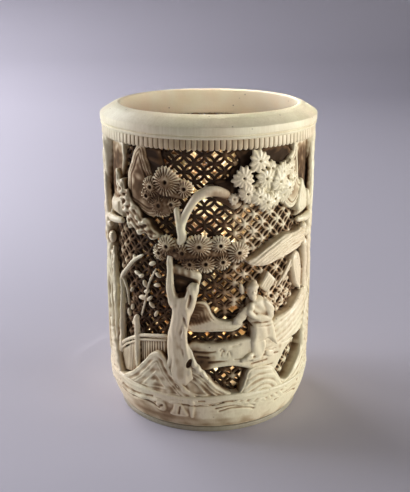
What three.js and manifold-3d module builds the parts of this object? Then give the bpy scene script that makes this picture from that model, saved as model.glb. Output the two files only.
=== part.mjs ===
// Brush pot: a wall carved from one section of tusk, with a turned lip ring capping it,
// and a floor plate and a foot ring under it.
// Millimetres, +Z up, origin at the centre of the foot's underside. Angle 0 on the wall faces -Y and
// angles grow towards +X, so a place on the wall is an angle in degrees and a height above the table.
import * as THREE from "three";
import { mergeVertices } from "three/addons/utils/BufferGeometryUtils.js";
import Module from "manifold-3d";

const wasm = await Module();
wasm.setup();

// Whole pot
const HEIGHT = 121; // table to the top of the lip
const FIT = 0.3; // gap between two pieces that sit against each other
const TURN_STEPS = 60; // facets round a turned piece

// Lip ring
const RIM_RADIUS = 41; // the mouth, the wall, the border and the foot follow it
const LIP_WIDTH = 7.6; // from the lip's outer edge to the mouth
const LIP_FALL = 3.6; // how far the sloping lip drops from the mouth to its outer edge
const LIP_LAND = 0.6; // narrow level land round the mouth
const RIM_BAND = 3.1; // upright band under the sloping lip
const BEAD_HEIGHT = 0.8;
const GROOVE_DEPTH = 0.5; // groove above the bead

// Border of tongues that hangs from the lip ring and laps over the wall's top
const LAPPET_COUNT = 128;
const LAPPET_INSET = 0.4; // how far the tongues stand behind the rim
const LAPPET_LENGTH = 4;
const LAPPET_POINT = 0.9; // how far a tongue's tip hangs below the notch beside it
const LAPPET_SWELL = 0.35; // how far a tongue swells in front of the notch
const LAPPET_ROOT = 0.2; // how far the border is rooted in the ring above it
const BORDER_LAP = 1; // how far the wall's top reaches up behind the border

// Pierced lattice, the inner skin of the wall
const LATTICE_INSET = 0.8; // how far the lattice's inside stands behind the mouth
const LATTICE_WALL = 1.8;
const LATTICE_COLUMNS = 22; // openings in one row
const OPENING_SHARE = 0.62; // half width of an opening as a share of the spacing of its rows
const OPENING_COVER = 0.05; // an opening is left out where the carving covers more than this share of it

// Carved relief in front of the lattice
const WALL_INSET = 0.7; // how far the carving's front stands behind the rim
const WALL_TURN_IN = 4; // how far the wall draws in at its bottom edge
const WALL_TURN_HEIGHT = 15; // height over which it draws in
const GROUND_CHAMFER = 1.2; // along the top of the carved ground
const ROOT_DEPTH = 1; // how far the back of every motif reaches into the lattice
const SCENE_HEIGHT = 109.5; // height that the carved scene below is drawn for

// Foot ring and floor plate
const FOOT_INSET = 0.1; // how far the foot's edge stands inside the wall's bottom edge
const FOOT_HEIGHT = 2;
const FOOT_WIDTH = 7;
const FOOT_CHAMFER = 0.6;
const PLATE_THICKNESS = 3.2;

// Values that follow from those above
const MOUTH_RADIUS = RIM_RADIUS - LIP_WIDTH;
const LAPPET_RADIUS = RIM_RADIUS - LAPPET_INSET;
const WALL_RADIUS = RIM_RADIUS - WALL_INSET;
const FOOT_RADIUS = WALL_RADIUS - WALL_TURN_IN - FOOT_INSET;
const LATTICE_INNER = MOUTH_RADIUS + LATTICE_INSET;
const WALL_BOTTOM = FOOT_HEIGHT + FIT;
const LIP_EDGE = HEIGHT - LIP_FALL;
const SHOULDER = LIP_EDGE - RIM_BAND - BEAD_HEIGHT; // underside of the lip ring's overhang
const BORDER_BOTTOM = SHOULDER - LAPPET_LENGTH;
const WALL_TOP = BORDER_BOTTOM + BORDER_LAP;
const SEAT = WALL_TOP + FIT; // underside of the lip ring, on the wall's top
const LATTICE_OUTER = LATTICE_INNER + LATTICE_WALL;
const ROOT = LATTICE_OUTER - ROOT_DEPTH;
const ROW_SPACING = (Math.PI * LATTICE_OUTER) / LATTICE_COLUMNS;
const FACET_INNER = LATTICE_INNER * Math.cos(Math.PI / LATTICE_COLUMNS); // clear radius inside the wall
const DEGREE = Math.PI / 180;

// Heights and widths in the carved scene are scaled so that it ends at the border's underside.
// Depths are shares of the relief's depth: 0 is the lattice's face and 1 is the wall's radius.
const SCENE_UNIT = BORDER_BOTTOM / SCENE_HEIGHT;
const depthRadius = (share) => LATTICE_OUTER + share * (WALL_RADIUS - LATTICE_OUTER);

// Direction out of the wall at an angle
function outAt(angle) {
  return new THREE.Vector3(Math.sin(angle * DEGREE), -Math.cos(angle * DEGREE), 0);
}

function onWall(angle, height, radius) {
  return outAt(angle).multiplyScalar(radius).setZ(height);
}

// Frame of a place on the wall: x along the wall, y up it and z out of it, tilted in the wall's plane
function wallFrame(angle, height, radius, tilt = 0) {
  const out = outAt(angle);
  const up = new THREE.Vector3(0, 0, 1);
  const along = new THREE.Vector3().crossVectors(up, out);
  const turn = new THREE.Matrix4().makeRotationZ(tilt * DEGREE);
  const frame = new THREE.Matrix4().makeBasis(along, up, out);
  return frame.setPosition(onWall(angle, height, radius)).multiply(turn);
}

// Closed three.js geometry to a solid
function solidOf(geometry) {
  const bare = geometry.clone();
  bare.deleteAttribute("normal");
  bare.deleteAttribute("uv");
  const merged = mergeVertices(bare, 1e-4);
  const vertProperties = merged.attributes.position.array;
  const triVerts = new Uint32Array(merged.index.array);
  return new wasm.Manifold(new wasm.Mesh({ numProp: 3, vertProperties, triVerts }));
}

function geometryOf(solid) {
  const mesh = solid.getMesh();
  const points = [];
  for (let i = 0; i < mesh.numVert; i++) {
    const start = i * mesh.numProp;
    points.push(...mesh.vertProperties.subarray(start, start + 3));
  }
  const geometry = new THREE.BufferGeometry();
  geometry.setAttribute("position", new THREE.Float32BufferAttribute(points, 3));
  geometry.setIndex(new THREE.BufferAttribute(mesh.triVerts, 1));
  geometry.computeVertexNormals();
  return geometry;
}

const join = (solids) => solids.reduce((whole, solid) => whole.add(solid));

// Closed solid through rings of points. Every ring has as many points and runs the same way round.
// Faces are turned over where the rings were given the other way round.
function skin(rings, closesOnItself = false) {
  const sides = rings[0].length;
  const points = rings.flat();
  const faces = [];
  const bands = closesOnItself ? rings.length : rings.length - 1;
  for (let i = 0; i < bands; i++) {
    const here = i * sides;
    const next = ((i + 1) % rings.length) * sides;
    for (let j = 0; j < sides; j++) {
      const k = (j + 1) % sides;
      faces.push([here + j, here + k, next + k], [here + j, next + k, next + j]);
    }
  }
  if (!closesOnItself) {
    const last = (rings.length - 1) * sides;
    for (let j = 1; j < sides - 1; j++) {
      faces.push([0, j + 1, j], [last, last + j, last + j + 1]);
    }
  }
  const build = (triangles) => {
    const geometry = new THREE.BufferGeometry().setFromPoints(points);
    geometry.setIndex(triangles.flat());
    return solidOf(geometry);
  };
  const solid = build(faces);
  return solid.volume() > 0 ? solid : build(faces.map(([a, b, c]) => [a, c, b]));
}

// Turned piece from its closed outline in radius and height
function turned(outline, steps = TURN_STEPS) {
  const rings = [];
  for (let i = 0; i < steps; i++) {
    rings.push(outline.map(([radius, height]) => onWall((i * 360) / steps, height, radius)));
  }
  return skin(rings, true);
}

// Ring whose closed outline in radius and height changes with the angle
function shapedRing(outlineAt, angles) {
  const rings = angles.map((angle, i) => {
    return outlineAt(angle, i).map(([radius, height]) => onWall(angle, height, radius));
  });
  return skin(rings, true);
}

// Value in a column of [angle, ...values] rows, at an angle between the first row and the last
function between(rows, angle, column) {
  const next = Math.max(1, rows.findIndex((row) => angle <= row[0]));
  const [before, after] = [rows[next - 1], rows[next]];
  const share = (angle - before[0]) / (after[0] - before[0]);
  return before[column] + share * (after[column] - before[column]);
}

// Angles of the rows, and angles between them so that no two are further apart than the widest step
function stopsAlong(rows, widest) {
  const stops = [rows[0][0]];
  for (let i = 1; i < rows.length; i++) {
    const span = rows[i][0] - rows[i - 1][0];
    const parts = Math.ceil(span / widest);
    for (let j = 1; j <= parts; j++) stops.push(rows[i - 1][0] + (span * j) / parts);
  }
  return stops;
}

// Rows of [angle, ...values] placed round an angle on the wall, and mirrored where the side is -1
function placed({ at, side }, rows) {
  return rows.map(([angle, ...rest]) => [at + side * angle, ...rest]);
}

// Carved bank, hill, leaf or board: rows of [angle, low, high] that swell outwards to a crown
function bank({ crown, rows }) {
  const widest = 8; // degrees between two sections
  const edge = depthRadius(0.19 * Math.min(1, crown / 0.5)); // radius along its lower and upper edges
  const ordered = [...rows].sort((a, b) => a[0] - b[0]);
  const stops = stopsAlong(ordered, widest);
  const sections = stops.map((angle, i) => {
    const low = between(ordered, angle, 1) * SCENE_UNIT;
    const high = between(ordered, angle, 2) * SCENE_UNIT;
    const at = (share) => low + share * (high - low);
    const swell = Math.sqrt(Math.sin((Math.PI * (i + 0.6)) / (stops.length + 0.2)));
    const front = edge + swell * (depthRadius(crown) - edge);
    return [
      onWall(angle, low, ROOT),
      onWall(angle, low, edge),
      onWall(angle, at(0.3), front),
      onWall(angle, at(0.75), front),
      onWall(angle, high, edge),
      onWall(angle, high, ROOT),
    ];
  });
  return skin(sections);
}

// Limb that runs over the wall through rows of [angle, height, crown depth, half width]
function limb(rows) {
  const shoulder = 0.6; // share of its standing depth at which a limb is widest
  const centres = rows.map(([angle, height]) => onWall(angle, height * SCENE_UNIT, LATTICE_OUTER));
  const sections = rows.map(([angle, height, crown, halfWidth], i) => {
    const ahead = centres[Math.min(i + 1, rows.length - 1)];
    const behind = centres[Math.max(i - 1, 0)];
    const side = new THREE.Vector3().subVectors(ahead, behind).cross(outAt(angle)).normalize();
    const at = (radius, offset) => onWall(angle, height * SCENE_UNIT, radius).addScaledVector(side, offset);
    const middle = depthRadius(shoulder * crown);
    const half = halfWidth * SCENE_UNIT;
    return [
      at(ROOT, -half),
      at(middle, -half),
      at(depthRadius(crown), 0),
      at(middle, half),
      at(ROOT, half),
    ];
  });
  return skin(sections);
}

// Star or scalloped pad whose flat face stands at a crown depth
function pad(angle, height, crown, size, points, notch, tilt) {
  const shape = new THREE.Shape();
  for (let i = 0; i < points * 2; i++) {
    const turn = (i * Math.PI) / points;
    const reach = size * SCENE_UNIT * (i % 2 ? notch : 1);
    shape[i ? "lineTo" : "moveTo"](reach * Math.cos(turn), reach * Math.sin(turn));
  }
  const depth = depthRadius(crown) - ROOT;
  const geometry = new THREE.ExtrudeGeometry(shape, { depth, bevelEnabled: false });
  return solidOf(geometry.applyMatrix4(wallFrame(angle, height * SCENE_UNIT, ROOT, tilt)));
}

// Squared block whose face stands at a crown depth
function block(angle, height, crown, width, tall, tilt = 0) {
  const depth = depthRadius(crown) - ROOT;
  const geometry = new THREE.BoxGeometry(width * SCENE_UNIT, tall * SCENE_UNIT, depth);
  geometry.translate(0, 0, depth / 2);
  return solidOf(geometry.applyMatrix4(wallFrame(angle, height * SCENE_UNIT, ROOT, tilt)));
}

// Rounded boss centred at a depth
function boss(angle, height, depth, ...halves) {
  const geometry = new THREE.SphereGeometry(1, 8, 6).scale(...halves.map((half) => half * SCENE_UNIT));
  return solidOf(geometry.applyMatrix4(wallFrame(angle, height * SCENE_UNIT, depthRadius(depth))));
}

// Lip ring, and the border of tongues that hangs from it outside the wall's top
function lipRing() {
  const grooveRadius = RIM_RADIUS - GROOVE_DEPTH;
  const ring = turned([
    [MOUTH_RADIUS, SEAT],
    [(LATTICE_OUTER + LAPPET_RADIUS) / 2, SEAT],
    [(LATTICE_OUTER + LAPPET_RADIUS) / 2, SHOULDER],
    [grooveRadius, SHOULDER],
    [RIM_RADIUS, SHOULDER + BEAD_HEIGHT / 2],
    [grooveRadius, SHOULDER + BEAD_HEIGHT],
    [RIM_RADIUS, SHOULDER + BEAD_HEIGHT + GROOVE_DEPTH],
    [RIM_RADIUS, LIP_EDGE],
    [MOUTH_RADIUS + LIP_LAND, HEIGHT],
    [MOUTH_RADIUS, HEIGHT],
  ]);
  return ring.add(lappetBorder());
}

function lappetBorder() {
  const stepsPerTongue = 2;
  const inner = LATTICE_OUTER + FIT;
  const top = SHOULDER + LAPPET_ROOT;
  const steps = LAPPET_COUNT * stepsPerTongue;
  const angles = Array.from({ length: steps }, (_, i) => (i * 360) / steps);
  return shapedRing((angle, i) => {
    const notch = i % stepsPerTongue === 0;
    const outer = LAPPET_RADIUS - (notch ? LAPPET_SWELL : 0);
    const bottom = BORDER_BOTTOM + (notch ? LAPPET_POINT : 0);
    return [[inner, bottom], [outer, bottom], [outer, top], [inner, top]];
  }, angles);
}

function footRing() {
  const inner = FOOT_RADIUS - FOOT_WIDTH;
  return turned([
    [inner, 0],
    [FOOT_RADIUS - FOOT_CHAMFER, 0],
    [FOOT_RADIUS, FOOT_CHAMFER],
    [FOOT_RADIUS, FOOT_HEIGHT],
    [inner, FOOT_HEIGHT],
  ]);
}

function floorPlate() {
  const radius = FACET_INNER - FIT;
  const geometry = new THREE.CylinderGeometry(radius, radius, PLATE_THICKNESS, TURN_STEPS);
  return solidOf(geometry.rotateX(Math.PI / 2).translate(0, 0, WALL_BOTTOM + PLATE_THICKNESS / 2));
}

// Skyline of the carved ground round the foot of the wall: rows of [angle, height]
const SKYLINE = [
  // back
  [-180, 26], [-168, 29], [-160, 31], [-144, 26], [-128, 25], [-120, 29], [-98, 34], [-88, 37],
  // front
  [-78, 37], [-71, 33.5], [-66, 27], [-60, 18.5], [-55, 18], [-48, 21], [-43, 24], [-33, 31.6], [-28, 33],
  [-19, 27.5], [-9.5, 28.2], [-4.6, 26.8], [4, 21], [15, 16.4], [22, 26.6], [30, 27], [37, 25.5], [45, 18.4],
  [50, 17.6], [64, 23.6], [70, 36], [77, 44],
  // back
  [86, 43], [94, 34], [116, 25], [124, 26], [136, 30], [160, 33.5], [180, 26],
];

function groundBand() {
  const widest = 8; // degrees between two sections
  const turnTop = WALL_BOTTOM + WALL_TURN_HEIGHT;
  const angles = stopsAlong(SKYLINE, widest).slice(1);
  return shapedRing((angle) => {
    const top = between(SKYLINE, angle, 1) * SCENE_UNIT;
    const waist = Math.min(turnTop, top - 2 * GROUND_CHAMFER);
    const at = (share) => WALL_BOTTOM + share * (waist - WALL_BOTTOM);
    return [
      [ROOT, WALL_BOTTOM],
      [WALL_RADIUS - WALL_TURN_IN, WALL_BOTTOM],
      [WALL_RADIUS - WALL_TURN_IN * 0.45, at(0.18)],
      [WALL_RADIUS - WALL_TURN_IN * 0.12, at(0.5)],
      [WALL_RADIUS, waist],
      [WALL_RADIUS, top - GROUND_CHAMFER],
      [WALL_RADIUS - GROUND_CHAMFER, top],
      [ROOT, top],
    ];
  }, angles);
}

// Hills, ledges, leaves and banks of cloud: rows of [angle, low, high]
const BANKS = [
  // hill and ledge at the upper left
  {
    crown: 0.47,
    rows: [
      [-51.5, 90, 98], [-43, 86, 108.5], [-38, 85, 108.5], [-33, 84.3, 101.5], [-27, 85, 97], [-23, 90, 93],
    ],
  },
  {
    crown: 0.84,
    rows: [[-62, 94.5, 98.5], [-57, 88, 97.6], [-46, 78.3, 90], [-34, 76.4, 82], [-27, 76.8, 77.8]],
  },
  // cloud and rock at the upper right
  {
    crown: 0.88,
    rows: [[21, 67.6, 68.8], [33, 66.2, 72.8], [47, 67.8, 76], [66, 69.8, 76.4], [71, 73, 74.4]],
  },
  {
    crown: 0.56,
    rows: [[42, 93, 99], [46, 88, 102.6], [52, 85, 105], [56, 85.6, 108.5], [60, 87.4, 96], [66, 92.6, 93.6]],
  },
  // terrace that the scholar walks on, the hill behind it, and the bank at its right
  {
    crown: 0.79,
    rows: [
      [-12, 27.5, 37.2], [4, 28, 37.8], [13, 28.4, 38.3], [22, 26.5, 38.8], [27, 23.4, 38.7], [34, 22, 38],
      [41, 23.6, 36], [45, 27.4, 34.4], [57, 31.5, 32.4],
    ],
  },
  {
    crown: 0.51,
    rows: [[-15, 43, 45], [-8, 41.8, 53.4], [-3, 41.8, 53.6], [2, 42, 49], [5, 42, 46.8], [17, 43, 46.6]],
  },
  {
    crown: 0.84,
    rows: [[30, 34, 40], [40, 32.1, 44.4], [54, 33.5, 45.8], [70, 34.5, 50.5], [77, 39, 47]],
  },
  // folded leaves and knobs at the right
  { crown: 0.74, rows: [[58, 84.6, 86], [61, 82.6, 91.5], [66, 82.9, 92.6], [72, 86.6, 87.4]] },
  { crown: 0.6, rows: [[55, 61, 64], [58, 58, 67], [64, 52.4, 66], [69, 55, 58.5]] },
  { crown: 0.88, rows: [[63, 70.5, 77.5], [68, 67.5, 77], [73, 68, 74.5]] },
  // back: peaks behind the pavilion and the pine, then clouds and hills
  {
    crown: 0.37,
    rows: [
      [-182, 29.5, 70], [-176, 29, 92], [-170, 28.5, 101], [-165, 28, 98], [-153, 28, 108.5], [-146, 28, 103],
      [-134, 31, 84], [-129, 38, 70],
    ],
  },
  {
    crown: 0.28,
    rows: [
      [126, 34, 40], [134, 31.5, 74], [146, 29, 94], [157, 28.5, 108.5], [169, 33, 96], [176, 36, 99],
      [181, 38, 90],
    ],
  },
  { crown: 0.74, rows: [[-174, 61.6, 62.6], [-158, 60, 69.5], [-144, 65, 76], [-120, 79.6, 81]] },
  { crown: 0.65, rows: [[-136, 37.6, 39], [-122, 36.6, 54], [-112, 36.6, 59], [-97, 44, 48]] },
  { crown: 0.65, rows: [[97, 38, 44], [106, 36.6, 55], [113, 35.4, 58], [121, 36.3, 52], [133, 38.4, 39.4]] },
  { crown: 0.74, rows: [[96, 85, 89], [108, 79.8, 91.5], [120, 75.8, 87], [132, 72.5, 80], [143, 73.5, 75]] },
];

// Thin stems and sticks in front of the lattice: rows of [angle, height, crown depth, half width]
const STEMS = [
  [[-61, 44, 0.3, 0.6], [-62, 54, 0.45, 0.8], [-55, 61, 0.49, 0.7], [-41, 68.4, 0.3, 0.5]],
  [[42.6, 56.4, 0.44, 0.5], [53.6, 64.6, 0.56, 0.6]],
  [[68, 70, 0.86, 1.4], [71, 62, 0.9, 1.5], [71, 48, 0.93, 1.6]],
  [[75, 88, 0.8, 1.2], [77, 76, 0.98, 1.6], [77, 52, 1, 1.6]],
];

// Pine: a leaning trunk with a root, a forked top, a shelf, and the bough that arches over to one side
function pineTrunk(tree) {
  const limbs = [
    [
      [-0.6, 24, 1, 5.9], [-1.6, 31, 1, 5], [-3.4, 38, 0.98, 3.9], [-1.6, 45.5, 0.98, 3.5],
      [0.6, 53.5, 1.03, 4.2],
    ],
    [
      [-4, 52, 0.95, 2.2], [-6.4, 58.5, 0.88, 1.5], [-6.5, 65, 0.79, 1], [-7.2, 71, 0.75, 1.2],
      [0.2, 77.6, 0.93, 1.6], [0.1, 83.4, 1, 1.5],
    ],
    [[2.6, 52.5, 1.02, 3], [6.4, 59.5, 0.98, 2.1], [8.6, 61.5, 0.88, 1]],
    [[-6.5, 66.4, 0.5, 1.2], [-1.4, 65.2, 0.75, 1.9], [9, 62.4, 0.6, 1.2]],
    [
      [0.1, 82.6, 0.98, 1.4], [2.8, 86.9, 0.95, 1.3], [8.9, 93.3, 0.95, 1.5], [18.7, 95.6, 0.88, 2.1],
      [29, 92, 0.72, 1.3],
    ],
    [[3.4, 36, 0.9, 1.3], [5, 32, 0.98, 1.2], [13.4, 24.6, 0.9, 0.8]],
  ];
  return join(limbs.map((rows) => limb(placed(tree, rows))));
}

// Needle pads of the pine, rows of [angle, height, crown depth, size]
function needlePads(tree) {
  const points = 5;
  const notch = 0.9;
  const turn = 13; // each pad is tilted by this much more than the last
  const rows = [
    // high on the trunk
    [-20.4, 91.8, 0.7, 3.4], [-12.6, 88.8, 0.67, 4.9], [-16.9, 95.4, 0.88, 4.1], [2, 95.9, 0.95, 3.5],
    [-7.6, 97.9, 1.02, 5.6],
    // across its middle
    [-13.4, 71.2, 0.65, 3.3], [4.4, 69.2, 0.74, 4], [12.9, 68.6, 0.79, 4], [22, 69.2, 0.74, 3.6],
    [-8, 74.4, 0.9, 4.2], [20.6, 75.6, 0.95, 4], [30.4, 72.6, 0.95, 4.4], [9.6, 75.3, 1.02, 4.9],
  ];
  return join(placed(tree, rows).map((row, i) => pad(...row, points, notch, turn * i)));
}

// Star-shaped leaves of the maple, rows of [angle, height, crown depth, size]
function mapleLeaves(tree) {
  const points = 5;
  const notch = 0.6;
  const turn = 20;
  const rows = [
    [31.9, 99.4, 0.98, 4], [40.5, 104.6, 1.02, 4.2], [45, 97.6, 0.9, 4.2], [55.5, 100, 0.93, 3.6],
    [53.6, 96.2, 1, 3.9], [60.4, 93.7, 0.98, 3.6], [57, 91.2, 0.88, 3.2], [34.3, 93.2, 0.88, 3.3],
    [41, 92.1, 0.95, 3.3], [45.3, 90, 0.98, 3.4], [51, 90.6, 0.84, 3], [66.5, 96.2, 0.74, 3.2],
    [63, 100.5, 0.84, 3.2],
  ];
  return join(placed(tree, rows).map((row, i) => pad(...row, points, notch, turn * i)));
}

// Standing figure in a long robe, with a wrapped zither on its back
function scholar(figure) {
  const { at, side, base } = figure;
  const raise = ([angle, height, ...rest]) => [angle, base + height, ...rest];
  const limbs = [
    // robe, and its flap in the wind
    [
      [0, 1, 0.86, 3.9], [0.4, 8, 0.9, 3.9], [2.2, 9.6, 1.05, 4.5], [2.6, 14.2, 0.98, 3.7], [1.8, 19, 1, 3.6],
      [-0.8, 24.6, 0.65, 1.8],
    ],
    [[6, 9.6, 0.72, 2.2], [12, 4.2, 0.44, 1]],
    // sleeves
    [[5.4, 22.4, 0.88, 1.8], [6.2, 15.8, 1.05, 2.1]],
    [[6, 16, 1.05, 1.7], [-1.4, 17.4, 1.05, 1.3]],
    [[-2.4, 22.6, 0.84, 1.5], [-3.4, 19, 0.98, 1.5]],
    [[-4.6, 21.4, 0.67, 0.9], [-9, 17.6, 0.8, 1.7], [-12.6, 14.8, 0.58, 0.8]],
    // shoes
    [[-6, 1.2, 0.95, 1.1], [-3, 1.4, 0.98, 1.5]],
    [[4, 0.8, 0.93, 1.2], [7.6, 1.4, 0.9, 1.3]],
    // hat
    [[-2.7, 28, 0.98, 2.3], [-1.8, 31, 0.75, 1.2]],
  ];
  return join([
    ...limbs.map((rows) => limb(placed(figure, rows.map(raise)))),
    boss(at - side * 3, base + 27.1, 0.6, 2.1, 2.4, 2),
    block(at + side * 7.5, base + 29.2, 0.65, 5.8, 6.6, side * -38),
  ]);
}

// Fence: a panel with a rail on each side of a tall post
function fence(place) {
  const panels = [
    [[-23, 22, 24], [-17, 17.5, 26.8], [-1, 20, 34]],
    [[1, 22, 35.2], [20, 26, 38]],
  ];
  const limbs = [
    [[-24, 25.6, 0.62, 0.65], [-12, 31.4, 0.62, 0.65], [-1, 35.4, 0.62, 0.65]],
    [[1, 36.2, 0.62, 0.65], [10, 37.6, 0.62, 0.65], [20, 39, 0.62, 0.65]],
    [[0, 24, 0.77, 1.2], [-0.4, 42, 0.74, 1]],
  ];
  return join([
    ...panels.map((rows) => bank({ crown: 0.42, rows: placed(place, rows) })),
    ...limbs.map((rows) => limb(placed(place, rows))),
  ]);
}

// Old tree at the edge of the view, from the ground to the border
function oldTree(tree) {
  const limbs = [
    [
      [0, 25, 1.02, 4.2], [-1, 44, 1.02, 3.6], [2, 62, 0.95, 2.6], [0, 72, 1, 3], [-1, 84, 0.98, 2.7],
      [2.5, 101, 1, 3.2], [3.6, 108.5, 0.95, 3.5],
    ],
    [[6, 24, 0.9, 1.8], [7.4, 46, 0.93, 1.4], [6, 64, 0.72, 0.9]],
    [[11, 26, 0.79, 1.6], [12.6, 48, 0.84, 1.5], [7, 66, 0.6, 0.8]],
    [[17.5, 28, 0.65, 1.4], [19.5, 46, 0.6, 1]],
    [[-4, 36, 0.98, 1.5], [-3.4, 66, 0.88, 1.3]],
  ];
  return join(limbs.map((rows) => limb(placed(tree, rows))));
}

// Sunk board beside the lattice, with its frame, and a drum on a ledge under it
function framedPanel(place) {
  const board = [[-6, 85, 108.5], [8, 86, 108.5], [13, 88, 108.5], [19, 97, 108.5], [20.5, 103, 108]];
  const drum = [[3.5, 80.5, 88], [18.5, 80.5, 88]];
  const frame = [[-4, 108.5, 1, 1.5], [-2, 93, 1.02, 1.5], [3, 80, 1.02, 1.6]];
  const ledge = [[1, 79.4, 0.95, 1.3], [10, 79.2, 1, 1.4], [19, 79.6, 0.7, 1]];
  return join([
    bank({ crown: 0.28, rows: placed(place, board) }),
    bank({ crown: 0.7, rows: placed(place, drum) }),
    ...[frame, ledge].map((rows) => limb(placed(place, rows))),
  ]);
}

// Garden pavilion: hipped roof on posts above a railing
function pavilion({ at, base }) {
  const reach = 20; // degrees from the middle to the eaves' tips
  const eaves = 35.2; // height of the eaves above the base
  const onFloor = (share) => at + share * reach;
  const slope = [[-1.08, 0.6, 1.6], [-0.5, 0, 6.8], [0, 0, 14.3], [0.5, 0, 6.8], [1.08, 0.6, 1.6]];
  const raise = ([share, ...heights]) => [onFloor(share), ...heights.map((height) => base + eaves + height)];
  const roof = bank({ crown: 0.84, rows: slope.map(raise) });
  const posts = [-0.72, -0.26, 0.26, 0.72].map((share) => {
    return block(onFloor(share), base + eaves / 2, 0.58, 1.8, eaves + 1);
  });
  const rails = [5, 11, 33].map((height) => {
    return limb([-0.8, -0.4, 0, 0.4, 0.8].map((share) => [onFloor(share), base + height, 0.49, 0.7]));
  });
  const pales = [-0.56, -0.41, -0.1, 0.1, 0.41, 0.56].map((share) => {
    return block(onFloor(share), base + 8, 0.4, 0.8, 6);
  });
  return join([roof, ...posts, ...rails, ...pales]);
}

const FRONT_TREE = { at: -14, side: 1 };
const BACK_TREE = { at: 160, side: -1 };

// Everything carved in front of the lattice, cut off just under the border
function relief() {
  const carving = join([
    groundBand(),
    ...BANKS.map(bank),
    ...STEMS.map(limb),
    ...[FRONT_TREE, BACK_TREE].flatMap((tree) => [pineTrunk(tree), needlePads(tree)]),
    mapleLeaves(FRONT_TREE),
    scholar({ at: 27, side: 1, base: 30 }),
    scholar({ at: -126, side: -1, base: 28 }),
    oldTree({ at: -81, side: 1 }),
    oldTree({ at: 88, side: -1 }),
    framedPanel({ at: -76, side: 1 }),
    framedPanel({ at: 79, side: -1 }),
    fence({ at: -44.5, side: 1 }),
    pavilion({ at: -160, base: 28 }),
  ]);
  return carving.trimByPlane([0, 0, -1], FIT - BORDER_BOTTOM);
}

// Inner skin of the wall
function latticeTube() {
  return turned(
    [
      [LATTICE_INNER, WALL_BOTTOM],
      [LATTICE_OUTER, WALL_BOTTOM],
      [LATTICE_OUTER, WALL_TOP],
      [LATTICE_INNER, WALL_TOP],
    ],
    LATTICE_COLUMNS,
  );
}

// Diamond openings in staggered rows, wherever the carving leaves the lattice bare
function latticeOpenings(carving) {
  const half = ROW_SPACING * OPENING_SHARE;
  const shape = new THREE.Shape();
  shape.moveTo(half, 0);
  shape.lineTo(0, half);
  shape.lineTo(-half, 0);
  shape.lineTo(0, -half);
  const through = new THREE.ExtrudeGeometry(shape, { depth: 2 * LATTICE_WALL, bevelEnabled: false });
  const start = LATTICE_INNER - LATTICE_WALL / 2;
  const openings = [];
  for (let row = 1; BORDER_BOTTOM - row * ROW_SPACING > WALL_BOTTOM; row++) {
    const height = BORDER_BOTTOM - row * ROW_SPACING;
    for (let column = 0; column < LATTICE_COLUMNS; column++) {
      const angle = ((column + (row % 2) / 2) * 360) / LATTICE_COLUMNS;
      const opening = solidOf(through.clone().applyMatrix4(wallFrame(angle, height, start)));
      if (carving.intersect(opening).volume() < OPENING_COVER * opening.volume()) openings.push(opening);
    }
  }
  return openings;
}

function carvedWall() {
  const carving = relief();
  const openings = latticeOpenings(carving);
  const pierced = openings.reduce((tube, opening) => tube.subtract(opening), latticeTube());
  return pierced.add(carving);
}

const FRESH_IVORY = new THREE.MeshStandardMaterial({ color: 0xe6dcc0, roughness: 0.5, metalness: 0 });
const AGED_IVORY = new THREE.MeshStandardMaterial({ color: 0xd2c3a0, roughness: 0.55, metalness: 0 });
const DARK_IVORY = new THREE.MeshStandardMaterial({ color: 0x9c9580, roughness: 0.6, metalness: 0 });

const pot = new THREE.Group();
const PIECES = [
  ["lip_ring", lipRing(), FRESH_IVORY],
  ["carved_wall", carvedWall(), AGED_IVORY],
  ["floor_plate", floorPlate(), AGED_IVORY],
  ["foot_ring", footRing(), DARK_IVORY],
];
for (const [name, solid, material] of PIECES) {
  const mesh = new THREE.Mesh(geometryOf(solid), material);
  mesh.name = name;
  pot.add(mesh);
}

export default pot;
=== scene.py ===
"""Ivory brush pot: a turned lip ring, a carved and pierced wall, a floor plate and a foot ring.

The carving is worked out on the unrolled wall, in mm: u runs along the wall, v is the height and w is the
distance from the pot's axis. A place on the wall is given as (degrees, height): 0 degrees is the front and
+ is to the right. Limbs are rows of (degrees, height, radius of the limb's axis, half its thickness).
"""
import math

import bpy
import numpy as np
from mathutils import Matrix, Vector


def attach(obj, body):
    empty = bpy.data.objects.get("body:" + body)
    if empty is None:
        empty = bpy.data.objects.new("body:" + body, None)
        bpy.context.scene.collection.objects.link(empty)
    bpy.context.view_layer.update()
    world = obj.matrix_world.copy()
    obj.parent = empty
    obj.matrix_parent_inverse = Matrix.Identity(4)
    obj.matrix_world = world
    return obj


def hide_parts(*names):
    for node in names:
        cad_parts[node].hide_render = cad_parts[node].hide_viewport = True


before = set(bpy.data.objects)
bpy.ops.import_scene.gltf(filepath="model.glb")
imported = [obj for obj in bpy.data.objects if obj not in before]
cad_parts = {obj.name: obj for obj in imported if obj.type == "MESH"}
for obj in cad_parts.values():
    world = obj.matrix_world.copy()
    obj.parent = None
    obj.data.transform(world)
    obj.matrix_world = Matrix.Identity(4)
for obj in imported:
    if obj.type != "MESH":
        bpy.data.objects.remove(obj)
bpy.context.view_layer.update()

# Sizes of the turned pieces, mm
HEIGHT = 121.0
RIM_RADIUS = 41.0
MOUTH_RADIUS = 33.4
LIP_FALL = 3.6
LIP_CREST = (36.6, 120.1)
LIP_GROOVE = 0.5
LIP_BEAD = 0.8
NECK_RADIUS = 38.2
SHOULDER = 113.5
SEAT = 110.8
BORDER_BOTTOM = 109.5
LAPPET_RADIUS = 40.6
LAPPET_BACK = 39.4
LAPPET_ARCH = 0.9
LAPPETS = 128
FOOT_RADIUS = 36.2
FOOT_HEIGHT = 2.0
FOOT_WIDTH = 7.0
PLATE_RADIUS = 33.5
PLATE_THICKNESS = 3.2
PLATE_CENTRE = 0.02
FIT = 0.3

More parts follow.
